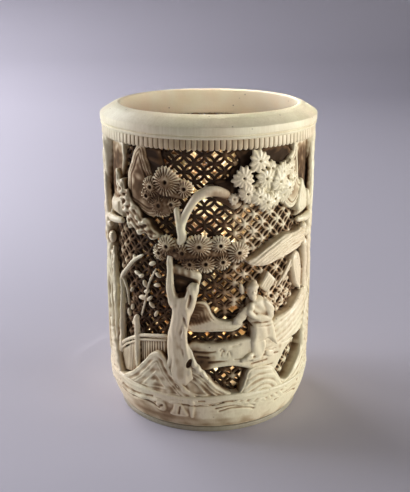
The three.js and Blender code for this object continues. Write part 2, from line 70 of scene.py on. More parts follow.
# Sizes of the carved wall, mm
WALL = 40.0  # radius at which the wall is unrolled
ARC = WALL * math.pi / 180  # mm along the unrolled wall per degree
ROUND = math.tau * WALL  # mm along the unrolled wall all round
WALL_BOTTOM = FOOT_HEIGHT + FIT
LATTICE_BACK = 34.2
LATTICE_FACE = 36.0
CARVING_BACK = 34.5  # radius to which solid carving reaches
CARVING_FRONT = 40.65  # nothing on the wall stands out further
FRONT = 40.3  # radius of the plain lower band
TURN_IN = 4.0
TURN_HEIGHT = 15.0
TURN_POWER = 2.3
SHORE_TOP = 17.0

# Sampling of the carving, mm
GRID = 0.38
BLOCK_FRONT = 41.0
FAR = 20.0
MM = 0.001

# Coarse cells that note how full of ivory the wall is, mm
CELL = 0.8
CELLS_ROUND = round(ROUND / CELL)
FILL_BACK = 30.0
FILL_HEIGHT = 130.0
FILL_DEPTH = 14.0

# Stain and painted shade, from 0 on the high points to 1 in the deepest recesses: patina in the hollows,
# darkened further as painted shade
CROWDING_PATINA_AND_SHADE = 1.5
CROWDING_FREE = 0.2  # share of ivory round a place that leaves it neither stained nor shaded
CROWDING_REACH = 1.3  # mm in front of the surface
DEPTH_PATINA_AND_SHADE = 0.34
DEEP_RADIUS = 35.2  # depth counts in full at this radius
UNDARKENED_RADIUS = 38.6  # and not at all at this one
HOLLOW_PATINA_AND_SHADE = 2.4
LEAST_STAIN_AND_SHADE = -0.2
HOLLOW_REACH = 1.5  # grid steps
NEAR_REACH = 1.4  # coarse cells, for leaving out rings behind carving
WIDE_REACH = 2.4  # coarse cells, for crowding
TUFT_CORE_STAIN = 0.2
TUFT_RIM_STAIN = -0.05
LEAF_STAIN = -0.22

# Marks and edges of the carving, mm
TOOL_MARK = 5.0
EDGE_ROUNDING = 0.5
BARK_DEPTH = 0.12
STROKE_WANDER = 0.35
STROKE_WANDER_SIZE = 9.0
SKIN_ROOM = 0.1  # between the carving's back and the lattice's


def smooth_min(a, b, soft):
    """Smaller of two distances, rounded where they meet."""
    if not soft:
        return np.minimum(a, b)
    near = np.maximum(soft - np.abs(a - b), 0) / soft
    return np.minimum(a, b) - near * near * soft / 4


def smooth_max(a, b, soft):
    """Larger of two distances, rounded where they meet."""
    return -smooth_min(-a, -b, soft)


def ease(low, high, value):
    """0 below low, 1 above high, and a smooth step between."""
    share = np.clip((value - low) / (high - low), 0, 1)
    return share * share * (3 - 2 * share)


def curve_through(points, closed=False, parts=5):
    """Smooth curve through points of any dimension."""
    points = np.asarray(points, float)
    if closed:
        padded = np.concatenate([points[-1:], points, points[:2]])
    else:
        first = 2 * points[0] - points[1]
        last = 2 * points[-1] - points[-2]
        padded = np.concatenate([[first], points, [last]])
    curve = []
    for a, b, c, d in zip(padded, padded[1:], padded[2:], padded[3:]):
        for share in np.arange(parts) / parts:
            square = share * share
            cube = square * share
            curve.append(0.5 * (2 * b + (c - a) * share + (2 * a - 5 * b + 4 * c - d) * square
                                + (3 * b - a - 3 * c + d) * cube))
    if not closed:
        curve.append(points[-1])
    return np.array(curve)


def on_wall(points):
    """(degrees, height) to mm on the unrolled wall. Further values are kept."""
    points = np.array(points, float)
    points[:, 0] *= ARC
    return points


def line_distance(u, v, line):
    """Distance on the wall to an open line."""
    best = np.full(np.broadcast(u, v).shape, FAR * FAR, np.float32)
    for (au, av), (bu, bv) in zip(line, line[1:]):
        du, dv = bu - au, bv - av
        share = np.clip(((u - au) * du + (v - av) * dv) / (du * du + dv * dv + 1e-9), 0, 1)
        best = np.minimum(best, (u - au - share * du) ** 2 + (v - av - share * dv) ** 2)
    return np.sqrt(best)


def outline_distance(u, v, outline):
    """Distance on the wall to a closed outline, negative inside it."""
    inside = np.zeros(np.broadcast(u, v).shape, bool)
    for (au, av), (bu, bv) in zip(outline, np.roll(outline, -1, axis=0)):
        if av != bv:
            inside ^= ((av > v) != (bv > v)) & (u < au + (bu - au) * (v - av) / (bv - av))
    distance = line_distance(u, v, np.concatenate([outline, outline[:1]]))
    return np.where(inside, -distance, distance)


def slab_distance(edge, top, under, w, round_edge):
    """Distance to a slab, from its outline's distance, its face and its underside over the wall."""
    edge, top = [values.astype(np.float32)[:, :, None] for values in (edge, top)]
    return np.maximum(smooth_max(edge, w - top, round_edge), under - w)


def wobble(u, v, size, seed):
    """Gentle unevenness between -1 and 1, as left by hand tools."""
    rng = np.random.default_rng(seed)
    total = 0
    for _ in range(4):
        turn = rng.uniform(0, math.tau)
        reach = rng.uniform(0.7, 1.5) * math.tau / size
        across = u * math.cos(turn) + v * math.sin(turn)
        total = total + np.sin(reach * across + rng.uniform(0, math.tau))
    return total / 4


class Block:
    """Sample points over a patch of the unrolled wall, each with its distance from the carving.

    Its motif is drawn round 0 degrees, moved to at, and mirrored there where side is -1.
    """

    def __init__(self, west, east, low, high, at=0.0, side=1, back=CARVING_BACK, closed=False):
        self.at = at
        self.side = side
        margin = 2 * GRID
        west, east = sorted([at + side * west, at + side * east])
        self.start = np.array([west * ARC, low, back]) - margin
        end = np.array([east * ARC, high, BLOCK_FRONT]) + margin
        counts = np.ceil((end - self.start) / GRID).astype(int) + 1
        u, v, w = [self.start[i] + GRID * np.arange(counts[i], dtype=np.float32) for i in range(3)]
        if closed:
            columns = round(ROUND / GRID)
            u = np.arange(columns, dtype=np.float32) * math.tau * WALL / columns - math.pi * WALL
            counts[0] = columns
            self.start[0] = -ROUND / 2
        self.u = u[:, None, None].astype(np.float32)
        self.v = v[None, :, None].astype(np.float32)
        self.w = w[None, None, :].astype(np.float32)
        self.field = np.full(counts, FAR, np.float32)
        self.closed = closed
        self.stains_and_shading = []

    def moved(self, rows):
        """Rows of (degrees, ...) drawn round 0, moved to the motif's place."""
        return [(self.at + self.side * row[0], *row[1:]) for row in rows]

    def window(self, low, high):
        """Slices over the samples between two corners in mm."""
        first = np.floor((np.asarray(low) - self.start) / GRID).astype(int)
        last = np.ceil((np.asarray(high) - self.start) / GRID).astype(int) + 1
        ends = zip(first, last, self.field.shape)
        return tuple(slice(max(a, 0), max(min(b, n), 0)) for a, b, n in ends)

    def shape(self, distance, low, high, soft=0.0, cut=False):
        """Adds or cuts a shape, given by its distance, between two corners."""
        part = self.window(low, high)
        old = self.field[part]
        if old.size == 0:
            return
        new = distance(self.u[part[0]], self.v[:, part[1]], self.w[:, :, part[2]])
        self.field[part] = smooth_max(old, -new, soft) if cut else smooth_min(old, new, soft)

    def stain_and_shading(self, *patches, deepest=None):
        """Darkens or lightens soft oval patches of the face, only above a radius if one is given: stain,
        painted shade and painted highlights. Patches are rows of (degrees, height, (long, wide), amount),
        with the turn in degrees after them if any."""
        for at, height, radii, amount, *turn in self.moved(patches):
            self.stains_and_shading.append((at * ARC, height, *radii, amount, math.radians(sum(turn)), deepest))

    def stain_and_shading_on(self, points):
        """Sum of the patches at points on the unrolled wall."""
        total = np.zeros(len(points))
        for u, v, long, wide, amount, turn, deepest in self.stains_and_shading:
            x, y = points[:, 0] - u, points[:, 1] - v
            along = (x * math.cos(turn) + y * math.sin(turn)) / long
            across = (y * math.cos(turn) - x * math.sin(turn)) / wide
            patch = amount * np.exp(-(along ** 2 + across ** 2) ** 2)
            if deepest is not None:
                patch = patch * ease(deepest - 0.5, deepest + 0.5, points[:, 2])
            total += patch
        return total

    def ball(self, at, height, depth, radii, turn=0.0, soft=0.6, cut=False):
        """Ellipsoid at a radius called depth, turned in the wall's surface."""
        centre = np.array([(self.at + self.side * at) * ARC, height, depth])
        reach = max(radii) + 1.2
        angle = math.radians(self.side * turn)
        cos, sin = math.cos(angle), math.sin(angle)

        def distance(u, v, w):
            x, y, z = u - centre[0], v - centre[1], w - centre[2]
            along = (x * cos + y * sin) / radii[0]
            across = (y * cos - x * sin) / radii[1]
            out = z / radii[2]
            near = np.sqrt(along ** 2 + across ** 2 + out ** 2)
            slope = np.sqrt((along / radii[0]) ** 2 + (across / radii[1]) ** 2 + (out / radii[2]) ** 2)
            return near * (near - 1) / (slope + 1e-6)

        self.shape(distance, centre - reach, centre + reach, soft, cut)

    def limbs(self, *lines, soft=0.5, flat=1.0, cut=False):
        """Round limbs through rows of (degrees, height, radius of the axis, half the thickness)."""
        curves = [curve_through(on_wall(self.moved(line)), parts=4) for line in lines]
        for a, b in [pair for curve in curves for pair in zip(curve, curve[1:])]:
            thick = max(a[3], b[3]) + 1.5
            axis = b[:3] - a[:3]
            length = float(axis @ axis) + 1e-9

            def distance(u, v, w):
                x, y, z = u - a[0], v - a[1], w - a[2]
                share = np.clip((x * axis[0] + y * axis[1] + z * axis[2]) / length, 0, 1)
                gap = (x - share * axis[0]) ** 2 + (y - share * axis[1]) ** 2
                gap = np.sqrt(gap + ((z - share * axis[2]) * flat) ** 2)
                return gap - a[3] - share * (b[3] - a[3])

            low, high = np.minimum(a, b)[:3], np.maximum(a, b)[:3]
            self.shape(distance, low - thick, high + thick, soft, cut)

    def relief(self, outline, crown, back=CARVING_BACK, fall=0.9, roll=1.2, rings=(), ring_depth=0.35,
               ring_width=0.3, carve=None, lean=0.0, smooth=True, soft=0.25, rough=0.08):
        """Carved slab with a closed outline. Its face falls away at the edge over the roll's width. Rings
        are lines engraved along the outline, this far inside it, and carve(u, v, depth) adds to the face."""
        shape = on_wall(self.moved(outline))
        if smooth:
            shape = curve_through(shape, closed=True)
        middle = shape.mean(axis=0)
        reach = 1.5
        low = np.append(shape.min(axis=0) - reach, back - reach)
        high = np.append(shape.max(axis=0) + reach, crown + reach + 1)
        seed = len(outline) * 7 + int(crown * 10)

        def distance(u, v, w):
            u2, v2 = u[:, :, 0], v[:, :, 0]
            edge = outline_distance(u2, v2, shape)
            depth = np.maximum(-edge, 0)
            bend = 1 - np.clip(depth / roll, 0, 1)
            top = crown - fall * bend * bend + lean * (v2 - middle[1])
            for ring in rings:
                top = top - ring_depth * np.exp(-((depth - ring) / ring_width) ** 2)
            if carve:
                top = top + carve(u2, v2, depth)
            top = top + rough * wobble(u2, v2, TOOL_MARK, seed)
            return slab_distance(edge, top, back, w, EDGE_ROUNDING)

        self.shape(distance, low, high, soft)

    def plate(self, at, height, radius, crown, size, lean, mark, face):
        """Thin dished plate with a drilled centre. Its size is (thickness, dome, rounding), its mark is the
        centre's (depth, radius), and face(around, reach, share) gives its edge's distance and what is added
        on it."""
        centre = np.array([(self.at + self.side * at) * ARC, height])
        thick, dome, rounding = size
        low = np.append(centre - radius - 1, crown - thick - dome - 2.2)
        high = np.append(centre + radius + 1, crown + 1)

        def distance(u, v, w):
            x, y = (u - centre[0])[:, :, 0], (v - centre[1])[:, :, 0]
            reach = np.hypot(x, y)
            share = np.clip(reach / radius, 0, 1)
            edge, added = face(np.arctan2(y, x), reach, share)
            body = crown - dome * share ** 2 + lean[0] * x + lean[1] * y
            top = body + added - mark[0] * np.exp(-(reach / mark[1]) ** 4)
            under = (body - thick).astype(np.float32)[:, :, None]
            return slab_distance(edge, top, under, w, rounding)

        self.shape(distance, low, high)

    def tuft(self, at, height, radius, crown, needles, lean):
        """Round tuft of pine needles: a dished disc with grooves running from its centre."""
        groove, notch, uneven = 0.85, 0.16, 0.05

        def face(around, reach, share):
            angle = around + height
            wave = 0.5 + 0.5 * np.cos(needles * angle)
            outline = 1 + uneven * np.sin(3 * angle + height)
            edge = reach - radius * outline * (1 - notch + notch * wave)
            return edge, -groove * (1 - wave) * ease(0.22, 0.6, share)

        self.plate(at, height, radius, crown, (1.5, 1.1, 0.3), (0, lean), (1.4, 0.6), face)
        for share, amount in ((0.42, TUFT_CORE_STAIN), (1.05, TUFT_RIM_STAIN)):
            self.stain_and_shading((at, height, (share * radius, share * radius), amount), deepest=crown - 2.0)

    def leaf(self, at, height, radius, crown, points, turn, lean):
        """Star-shaped maple leaf with a ridge along each point."""
        ridge, notch, uneven = 0.5, 0.24, 0.12

        def face(around, reach, share):
            angle = (around + turn) * points / math.tau
            petal = 2 * np.abs(angle - np.floor(angle) - 0.5)
            outline = 1 + uneven * np.sin(3 * around + 5 * turn)
            edge = 0.85 * (reach - radius * outline * (1 - notch + notch * petal))
            return edge, ridge * (petal - 0.7) * ease(0.15, 0.5, share)

        self.plate(at, height, radius, crown, (1.1, 0.8, 0.2), lean, (1.2, 0.45), face)
        self.stain_and_shading((at, height, (1.1 * radius, 1.1 * radius), LEAF_STAIN), deepest=crown - 1.6)


def cell_edges():
    """A cell's eight corners, and the pairs of them that an edge joins."""
    corners = [(i, j, k) for i in (0, 1) for j in (0, 1) for k in (0, 1)]
    pairs = [(a, b) for a in range(8) for b in range(a + 1, 8)]
    return corners, [(a, b) for a, b in pairs if np.abs(np.subtract(corners[b], corners[a])).sum() == 1]


def skin_of(field, closed):
    """Points, in grid steps, and four-sided faces of the surface where the field is zero."""
    if closed:
        field = np.concatenate([field, field[:2]])
    solid = field < 0
    cells = tuple(n - 1 for n in field.shape)
    corners, edges = cell_edges()
    count = np.zeros(cells, np.uint8)
    for i, j, k in corners:
        count += solid[i:i + cells[0], j:j + cells[1], k:k + cells[2]]
    mixed = (count > 0) & (count < 8)
    if closed:
        mixed[-1] = False
    place = np.argwhere(mixed)
    number = np.full(cells, -1, np.int64)
    number[mixed] = np.arange(len(place))
    if closed:
        number[-1] = number[0]
    values = [field[place[:, 0] + i, place[:, 1] + j, place[:, 2] + k] for i, j, k in corners]
    total = np.zeros((len(place), 3))
    hits = np.zeros(len(place))
    for a, b in edges:
        crossed = (values[a] < 0) != (values[b] < 0)
        gap = np.where(crossed, values[a] - values[b], 1)
        share = np.where(crossed, values[a] / gap, 0)
        step = np.subtract(corners[b], corners[a])
        total += crossed[:, None] * (np.array(corners[a]) + share[:, None] * step)
        hits += crossed
    points = place + total / hits[:, None]
    faces = []
    for axis in range(3):
        order = (axis, (axis + 1) % 3, (axis + 2) % 3)
        filled = solid.transpose(order)
        cell = number.transpose(order)
        change = filled[1:, 1:-1, 1:-1] != filled[:-1, 1:-1, 1:-1]
        if closed and axis == 0:
            change[-1] = False
        a, p, q = np.argwhere(change).T
        ring = [cell[a, p, q], cell[a, p + 1, q], cell[a, p + 1, q + 1], cell[a, p, q + 1]]
        quads = np.stack(ring, axis=1)
        turned_round = filled[a + 1, p + 1, q + 1]
        quads[turned_round] = quads[turned_round][:, ::-1]
        faces.append(quads)
    return points, np.concatenate(faces)


def roll_up(points):
    """Points on the unrolled wall, mm, to their places on the pot, m."""
    angle = points[..., 0] / WALL
    out = points[..., 2]
    return np.stack([out * np.sin(angle), -out * np.cos(angle), points[..., 1]], axis=-1) * MM


def mesh_from(name, points, groups, stain_and_shading=None):
    """Smooth-shaded mesh from points in metres and arrays of faces, one array for each number of sides."""
    mesh = bpy.data.meshes.new(name)
    mesh.vertices.add(len(points))
    mesh.vertices.foreach_set("co", np.asarray(points, np.float32).ravel())
    loops = np.concatenate([faces.ravel() for faces in groups]).astype(np.int32)
    sizes = np.concatenate([np.full(len(faces), faces.shape[1]) for faces in groups])
    starts = np.concatenate([[0], np.cumsum(sizes)[:-1]]).astype(np.int32)
    mesh.loops.add(len(loops))
    mesh.loops.foreach_set("vertex_index", loops)
    mesh.polygons.add(len(sizes))
    mesh.polygons.foreach_set("loop_start", starts)
    mesh.polygons.foreach_set("use_smooth", np.ones(len(sizes), bool))
    mesh.update(calc_edges=True)
    if stain_and_shading is not None:
        # stain together with painted shade and light, kept for each point
        values = mesh.attributes.new("stain_and_shading", "FLOAT", "POINT").data
        values.foreach_set("value", stain_and_shading.astype(np.float32))
    return mesh


def band_faces(steps, sides):
    """Four-sided faces round a band that closes both along its steps and round its sides."""
    i, j = np.meshgrid(np.arange(steps), np.arange(sides), indexing="ij")
    ahead, beside = (i + 1) % steps, (j + 1) % sides
    ring = [i * sides + j, ahead * sides + j, ahead * sides + beside, i * sides + beside]
    return np.stack(ring, axis=-1).reshape(-1, 4)


def blurred(values, reach):
    """Values on a grid, blurred over a reach in cells."""
    span = math.ceil(2.5 * reach)
    offsets = np.arange(-span, span + 1)
    weights = np.exp(-(offsets / reach) ** 2 / 2)
    weights /= weights.sum()
    for axis in range(3):
        values = sum(weight * np.roll(values, int(offset), axis) for offset, weight in zip(offsets, weights))
    return values


def sampled(values, place, closed):
    """Trilinear values at places on a grid, which may close on itself along its first axis."""
    low = np.floor(place).astype(int)
    share = place - low
    total = 0
    for corner in np.ndindex(2, 2, 2):
        near = np.abs(1 - np.array(corner) - share)
        a, b, c = (low + corner).T
        a = a % len(values) if closed else np.clip(a, 0, len(values) - 1)
        b = np.clip(b, 0, values.shape[1] - 1)
        c = np.clip(c, 0, values.shape[2] - 1)
        total = total + near[:, 0] * near[:, 1] * near[:, 2] * values[a, b, c]
    return total


# Stain gathers, and shade is painted, where much ivory stands round a place
filling = np.zeros((CELLS_ROUND, int(FILL_HEIGHT / CELL), int(FILL_DEPTH / CELL)), np.float32)


def cell_of(points):
    """Places in the coarse cells of points on the unrolled wall."""
    return np.stack([points[..., 0] / ROUND * CELLS_ROUND % CELLS_ROUND,
                     points[..., 1] / CELL, (points[..., 2] - FILL_BACK) / CELL], axis=-1)


def note_filling(block):
    """Adds a block's solid samples to the coarse cells."""
    place = np.argwhere(block.field < 0) * GRID + block.start
    cell = cell_of(place).astype(int)
    cell[:, 0] %= CELLS_ROUND
    flat = np.ravel_multi_index(cell.T, filling.shape)
    counts = np.bincount(flat, minlength=filling.size).astype(np.float32)
    filling.ravel()[:] += (GRID / CELL) ** 3 * counts


def whole_filling(reach):
    """The coarse cells with the lip ring's overhang, which paints shade under the rim, blurred over a reach
    in cells.
    """
    full = np.clip(filling, 0, 1)
    inside, outside = [math.ceil((radius - FILL_BACK) / CELL) for radius in (MOUTH_RADIUS, RIM_RADIUS)]
    # the overhang counts as ivory, so painted shade falls under the rim
    full[:, int(SHOULDER / CELL):, inside:outside] = 1
    return blurred(full, reach)


def normals_of(points, faces):
    """Vertex normals on the unrolled wall."""
    diagonals = []
    for start, end in ((0, 2), (1, 3)):
        diagonal = points[faces[:, end]] - points[faces[:, start]]
        diagonal[:, 0] -= ROUND * np.round(diagonal[:, 0] / ROUND)
        diagonals.append(diagonal)
    cross = np.cross(*diagonals)
    total = np.zeros_like(points)
    for corner in range(faces.shape[1]):
        for axis in range(3):
            total[:, axis] += np.bincount(faces[:, corner], cross[:, axis], len(points))
    return total / (np.linalg.norm(total, axis=1, keepdims=True) + 1e-9)


def stain_and_shading_at(points, faces, hollow, tint, full):
    """Stain and painted shade by how crowded, deep and hollow each point's place is."""
    outside = points + CROWDING_REACH * normals_of(points, faces)
    crowding = sampled(full, cell_of(outside), True) - CROWDING_FREE
    depth = 1 - ease(DEEP_RADIUS, UNDARKENED_RADIUS, points[:, 2])
    total = CROWDING_PATINA_AND_SHADE * crowding + DEPTH_PATINA_AND_SHADE * depth + HOLLOW_PATINA_AND_SHADE * hollow + tint
    return np.clip(total, LEAST_STAIN_AND_SHADE, 1)


carvings = []  # (name, points, faces, hollowness, tint, caps if any) of every carved piece


def keep(name, block, tint=0.0):
    """Turns a finished block into a carved piece, darker or lighter by a tint."""
    limits = np.maximum(block.w - CARVING_FRONT, LATTICE_BACK + SKIN_ROOM - block.w)
    block.field = np.maximum(block.field, limits)
    cells, faces = skin_of(block.field, block.closed)
    solid = blurred((block.field < 0).astype(np.float32), HOLLOW_REACH)
    note_filling(block)
    points = block.start + GRID * cells
    hollow = sampled(solid, cells, block.closed) - 0.5
    carvings.append((name, points, faces, hollow, tint + block.stain_and_shading_on(points)))


def strokes(line, pitch, depth):
    """Engraved strokes that run along a line, one pitch apart."""
    path = curve_through(on_wall(line))

    def carve(u, v, edge_depth):
        gap = line_distance(u, v, path) + STROKE_WANDER * wobble(u, v, STROKE_WANDER_SIZE, 5)
        return -depth * (0.5 + 0.5 * np.cos(math.tau * gap / pitch)) * ease(0.1, 0.9, edge_depth)

    return carve


def engraved(lines, width=0.32, depth=0.4):
    """Single engraved lines."""
    paths = [curve_through(on_wall(line)) for line in lines]
    return lambda u, v, _: sum(-depth * np.exp(-(line_distance(u, v, path) / width) ** 2) for path in paths)


def both(*carves):
    """Sum of several carvings of a face."""
    return lambda u, v, depth: sum(carve(u, v, depth) for carve in carves)


# Motifs of the carving
def wall_outside(height):
    """Outer radius of the plain lower wall, which draws in towards its bottom edge."""
    share = np.clip((height - WALL_BOTTOM) / TURN_HEIGHT, 0, 1)
    return FRONT - TURN_IN * (1 - share) ** TURN_POWER


def shore_band():
    """Plain lower band, closed all round, with engraved water, a raised shore line and small stones."""
    waves = [[(a, 10.5), (a + 6, 11.6), (a + 14, 11.2), (a + 20, 9.8)] for a in range(6, 340, 34)]
    swells = [[(a, 14), (a + 8, 13), (a + 18, 13.2), (a + 28, 14.2)] for a in range(-20, 330, 40)]
    shore = [[(a, 16.2), (a + 15, 15.7), (a + 30, 16.2)] for a in range(-180, 180, 30)]
    stones = [
        [(-30, 10.4), (-29, 12.6), (-26.6, 13.2), (-24.4, 12.2), (-23.8, 10), (-25.4, 8.6), (-28.4, 8.8)],
        [(-21.6, 8), (-19.4, 10.8), (-17.6, 14.2), (-15.6, 14.4), (-13.6, 12), (-11, 8.2), (-16, 7.6)],
        [(-9.9, 8), (-10.1, 14.4), (-7.6, 14.6), (-8.2, 8)]]
    marks = [
        [(-16.4, 8.6), (-15.4, 12.2)], [(-27.6, 10.6), (-25.8, 11.4)], [(-7, 14.9), (-2, 15)],
        [(2, 13.4), (10, 14.6), (20, 14), (30, 13.2)], [(4, 11.8), (12, 12.6), (22, 12), (26, 11.2)],
        [(-70, 13), (-60, 11.4), (-48, 10.8), (-38, 11.6)]]
    water_depth, water_width = 0.5, 0.36
    ridge_height, ridge_width = 0.35, 0.4
    stone_height = 0.45
    block = Block(-180, 180, WALL_BOTTOM, SHORE_TOP + 1.5, back=LATTICE_BACK, closed=True)
    along = block.u[:, 0, 0]
    u, v = block.u[:, :, 0], block.v[:, :, 0]
    face = wall_outside(v) + 0 * u

    def near(path, margin):
        return (along > path[:, 0].min() - margin) & (along < path[:, 0].max() + margin)

    for line in waves + swells + marks:
        for turn in (0, -ROUND):
            path = curve_through(on_wall(line)) + [turn, 0]
            cut = near(path, 1.5)
            face[cut] -= water_depth * np.exp(-(line_distance(u[cut], v, path) / water_width) ** 2)
    for line in shore:
        path = curve_through(on_wall(line))
        ridge = near(path, 1)
        face[ridge] += ridge_height * np.exp(-(line_distance(u[ridge], v, path) / ridge_width) ** 2)
    for stone in stones:
        path = curve_through(on_wall(stone), closed=True)
        raised = near(path, 1)
        face[raised] += stone_height * ease(0.5, -0.5, outline_distance(u[raised], v, path))
    face = face + 0.06 * wobble(u, v, 7.0, 3) * ease(0, 12, ROUND / 2 - np.abs(u))
    edge = np.maximum(v - SHORE_TOP - 0.5 * np.sin(5 * u / WALL), WALL_BOTTOM - v)
    block.field = slab_distance(edge, face, LATTICE_BACK, block.w, EDGE_ROUNDING)
    # darker patches under the left rock, along the lower edge and at the front; the front one is painted
    # shade where the band faces away from the lamps
    block.stain_and_shading((-32, 9, (14, 5), 0.26), (-2, 10, (12, 5), 0.1), (-16, 5, (30, 2), 0.14),
                (50, 13, (12, 2), 0.08))
    keep("shore_band", block)


def rock(name, outline, crown, rings=(0.9, 2.0, 3.4), tint=0.0, stains_and_shading=(), **options):
    """Rock or bank with ledges engraved along its outline."""
    angles, heights = zip(*outline)
    block = Block(min(angles) - 2, max(angles) + 2, min(heights) - 1, max(heights) + 1)
    block.relief(outline, crown, rings=rings, **options)
    block.stain_and_shading(*stains_and_shading)
    keep(name, block, tint)


def front_ground():
    """Rocks, terrace, hill and bank that the front scene stands on."""
    contours = {"ring_width": 0.26, "fall": 0.3, "roll": 0.6}
    rock("left_rock", [
        (-60, 12), (-55, 18), (-48, 21), (-43, 24), (-37, 28.5), (-33, 31.6), (-28, 33), (-24, 31),
        (-20.4, 26.4), (-14, 21.2), (-6, 16), (-8, 13.5), (-30, 12), (-45, 11)],
        40.0, rings=(0.5, 1.3, 3.1, 4.1, 6.4, 8.6), ring_depth=-0.32, rough=0.35, tint=0.14, **contours)
    rock("middle_rock", [
        (-22, 20), (-20, 25), (-15.5, 27.4), (-9.5, 28.2), (-4.6, 26.8), (0, 24), (4, 21), (9, 18.6),
        (14.6, 16.4), (8, 13.5), (-10, 13)],
        39.5, rings=(0.5, 1.7, 2.9, 4.7), ring_depth=-0.36, rough=0.3, tint=0.13,
        stains_and_shading=[(2, 17, (9, 5), 0.12)], **contours)
    rock("right_rock", [
        (12, 13), (16, 16.5), (19.3, 21), (22.5, 26.6), (30, 27), (37, 25.5), (41, 22.2), (45, 18.4),
        (50, 17.6), (57, 20.4), (64, 23.6), (68, 28), (70, 33), (76, 36), (84, 31), (82, 13), (50, 11),
        (30, 11)],
        40.2, rings=(0.9,), tint=0.05, fall=0.6,
        carve=strokes([(12, 14), (26, 21), (38, 20), (50, 12), (80, 20)], 2.3, 0.3))
    rock("terrace", [
        (-13, 29), (-11, 37.4), (0, 37.6), (10, 38), (20, 38.8), (30, 38.6), (38, 37), (46, 34), (54, 33.8),
        (57, 32.4), (50, 30.6), (45, 27.4), (41, 23.6), (34, 22), (27, 23.4), (22, 26.5), (13, 28.4),
        (4, 28), (-4, 27)],
        39.4, rings=(), fall=0.7,
        # painted shade in the hollow beside the pine's roots, under the terrace's front edge and beside the
        # scholar
        stains_and_shading=[(-9, 31, (8, 8), 0.6), (-2, 32, (9, 7), 0.12), (0, 29, (10, 3), 0.24), (24, 26, (6, 3), 0.2),
                (38, 32, (12, 6), 0.12)],
        carve=engraved([
            [(-8, 34.8), (-1, 34.5), (4, 34.9)], [(-6, 32.8), (0, 32.5)], [(6, 35), (7, 35.8), (8.4, 35)],
            [(7, 33), (7.2, 34.4), (8.6, 34.6), (8.8, 33.1)], [(10, 33), (10.3, 34.5), (11.6, 34.5),
            (12, 33)], [(12, 36.4), (17, 37)], [(0, 30.6), (10, 31)], [(14, 31.2), (20, 31)],
            [(24, 28.6), (34, 28.8)], [(30, 34), (40, 32.6)], [(28, 31.4), (42, 30.2)],
            [(26, 26.2), (38, 26.4)]]))
    rock("middle_hill", [
        (-15, 43), (-13, 50), (-8, 53.4), (-3, 53.6), (0, 52), (2, 49), (5, 46.8), (11, 45.9), (17, 46.6),
        (19.5, 44), (14, 41.8), (5, 42), (-6, 41.8)],
        38.2, rings=(0.9,), fall=0.7, rough=0.25, tint=0.12,
        stains_and_shading=[(-7, 49.6, (7.5, 4.5), 0.42), (-3, 44.2, (8, 1.4), -0.12), (10, 46, (8, 2), -0.22)],
        carve=strokes([(-14, 55), (0, 53.5), (4, 47.5), (18, 46.5)], 1.2, 0.18))
    rock("right_bank", [
        (30, 40), (36, 42.5), (40, 44.4), (47, 45), (54, 45.8), (60, 48), (70, 50.5), (77, 47), (76, 38),
        (70, 34.5), (62, 33.6), (54, 33.5), (46, 32.5), (38, 32), (32, 33)],
        39.6, rings=(), fall=0.7, carve=strokes([(30, 45), (46, 48), (60, 51), (76, 54)], 2.4, 0.34))


def clouds_and_hills():
    """Cloud bank, hills and jagged ledge in the upper half of the front scene."""
    def knobs(u, v, depth):
        return 0.7 * wobble(u, v, 3.4, 8) * ease(0, 1.5, depth)

    rock("cloud_bank", [
        (21, 68.6), (27, 70.6), (33, 72.8), (40, 74.8), (47, 76), (54, 75.6), (60, 75.6), (66, 76.4),
        (71, 74), (66, 69.8), (58, 68.4), (50, 68), (41, 67.2), (33, 66.2), (25, 66.7)],
        39.8, rings=(0.7,), fall=1.0, tint=-0.04,
        carve=strokes([(20, 70), (33, 75), (50, 79), (72, 79)], 1.35, 0.55))
    rock("upper_right_rock", [
        (42, 99), (44, 102), (49, 103.6), (53, 105.4), (54.5, 109), (57.5, 109), (58.5, 103), (60, 96),
        (62, 94.6), (66, 93.6), (64, 90), (58, 86), (52, 85), (46, 88), (42, 93)],
        38.4, rings=(1.0, 2.2), ring_depth=0.5, fall=0.7,
        stains_and_shading=[(50, 93, (6, 6), 0.16), (56, 104, (2.4, 4), 0.3)])
    rock("upper_left_hill", [
        (-50, 88), (-51.5, 94), (-51, 99), (-48.5, 102), (-46, 106), (-42, 109.5), (-38, 109.5),
        (-35, 104.5), (-31.5, 99.5), (-26, 97), (-23, 92), (-26, 86), (-34, 84), (-41, 85.5)],
        38.0, rings=(0.9, 1.9, 3.0), ring_depth=0.4, ring_width=0.35, roll=1.6, rough=0.25, tint=0.44,
        stains_and_shading=[(-48, 100, (2.6, 7), -0.16)])
    rock("left_ledge", [
        (-62, 98.5), (-59, 98.4), (-56.6, 95.4), (-54, 96), (-51, 92.6), (-48.6, 92.6), (-46, 88.8),
        (-41, 86.8), (-38.6, 83.4), (-35, 83.2), (-31, 80.2), (-27, 77.6), (-32, 75.8), (-36, 78),
        (-41, 76.6), (-45, 79.2), (-49, 78), (-51, 82.6), (-55.6, 84.4), (-55.8, 89), (-60, 91), (-60, 95)],
        39.6, rings=(0.6,), fall=0.8, rough=0.4, tint=0.26,
        # painted shadow: a dark band along the ledge's upper side and darker patches under its lower edge
        stains_and_shading=[(-31, 79, (4, 3.6), 0.3), (-45, 80, (8, 2.2), 0.12), (-43, 89, (10, 1.3), 0.3, -42)],
        carve=both(strokes([(-64, 100), (-52, 93), (-30, 80)], 1.7, 0.3), knobs))


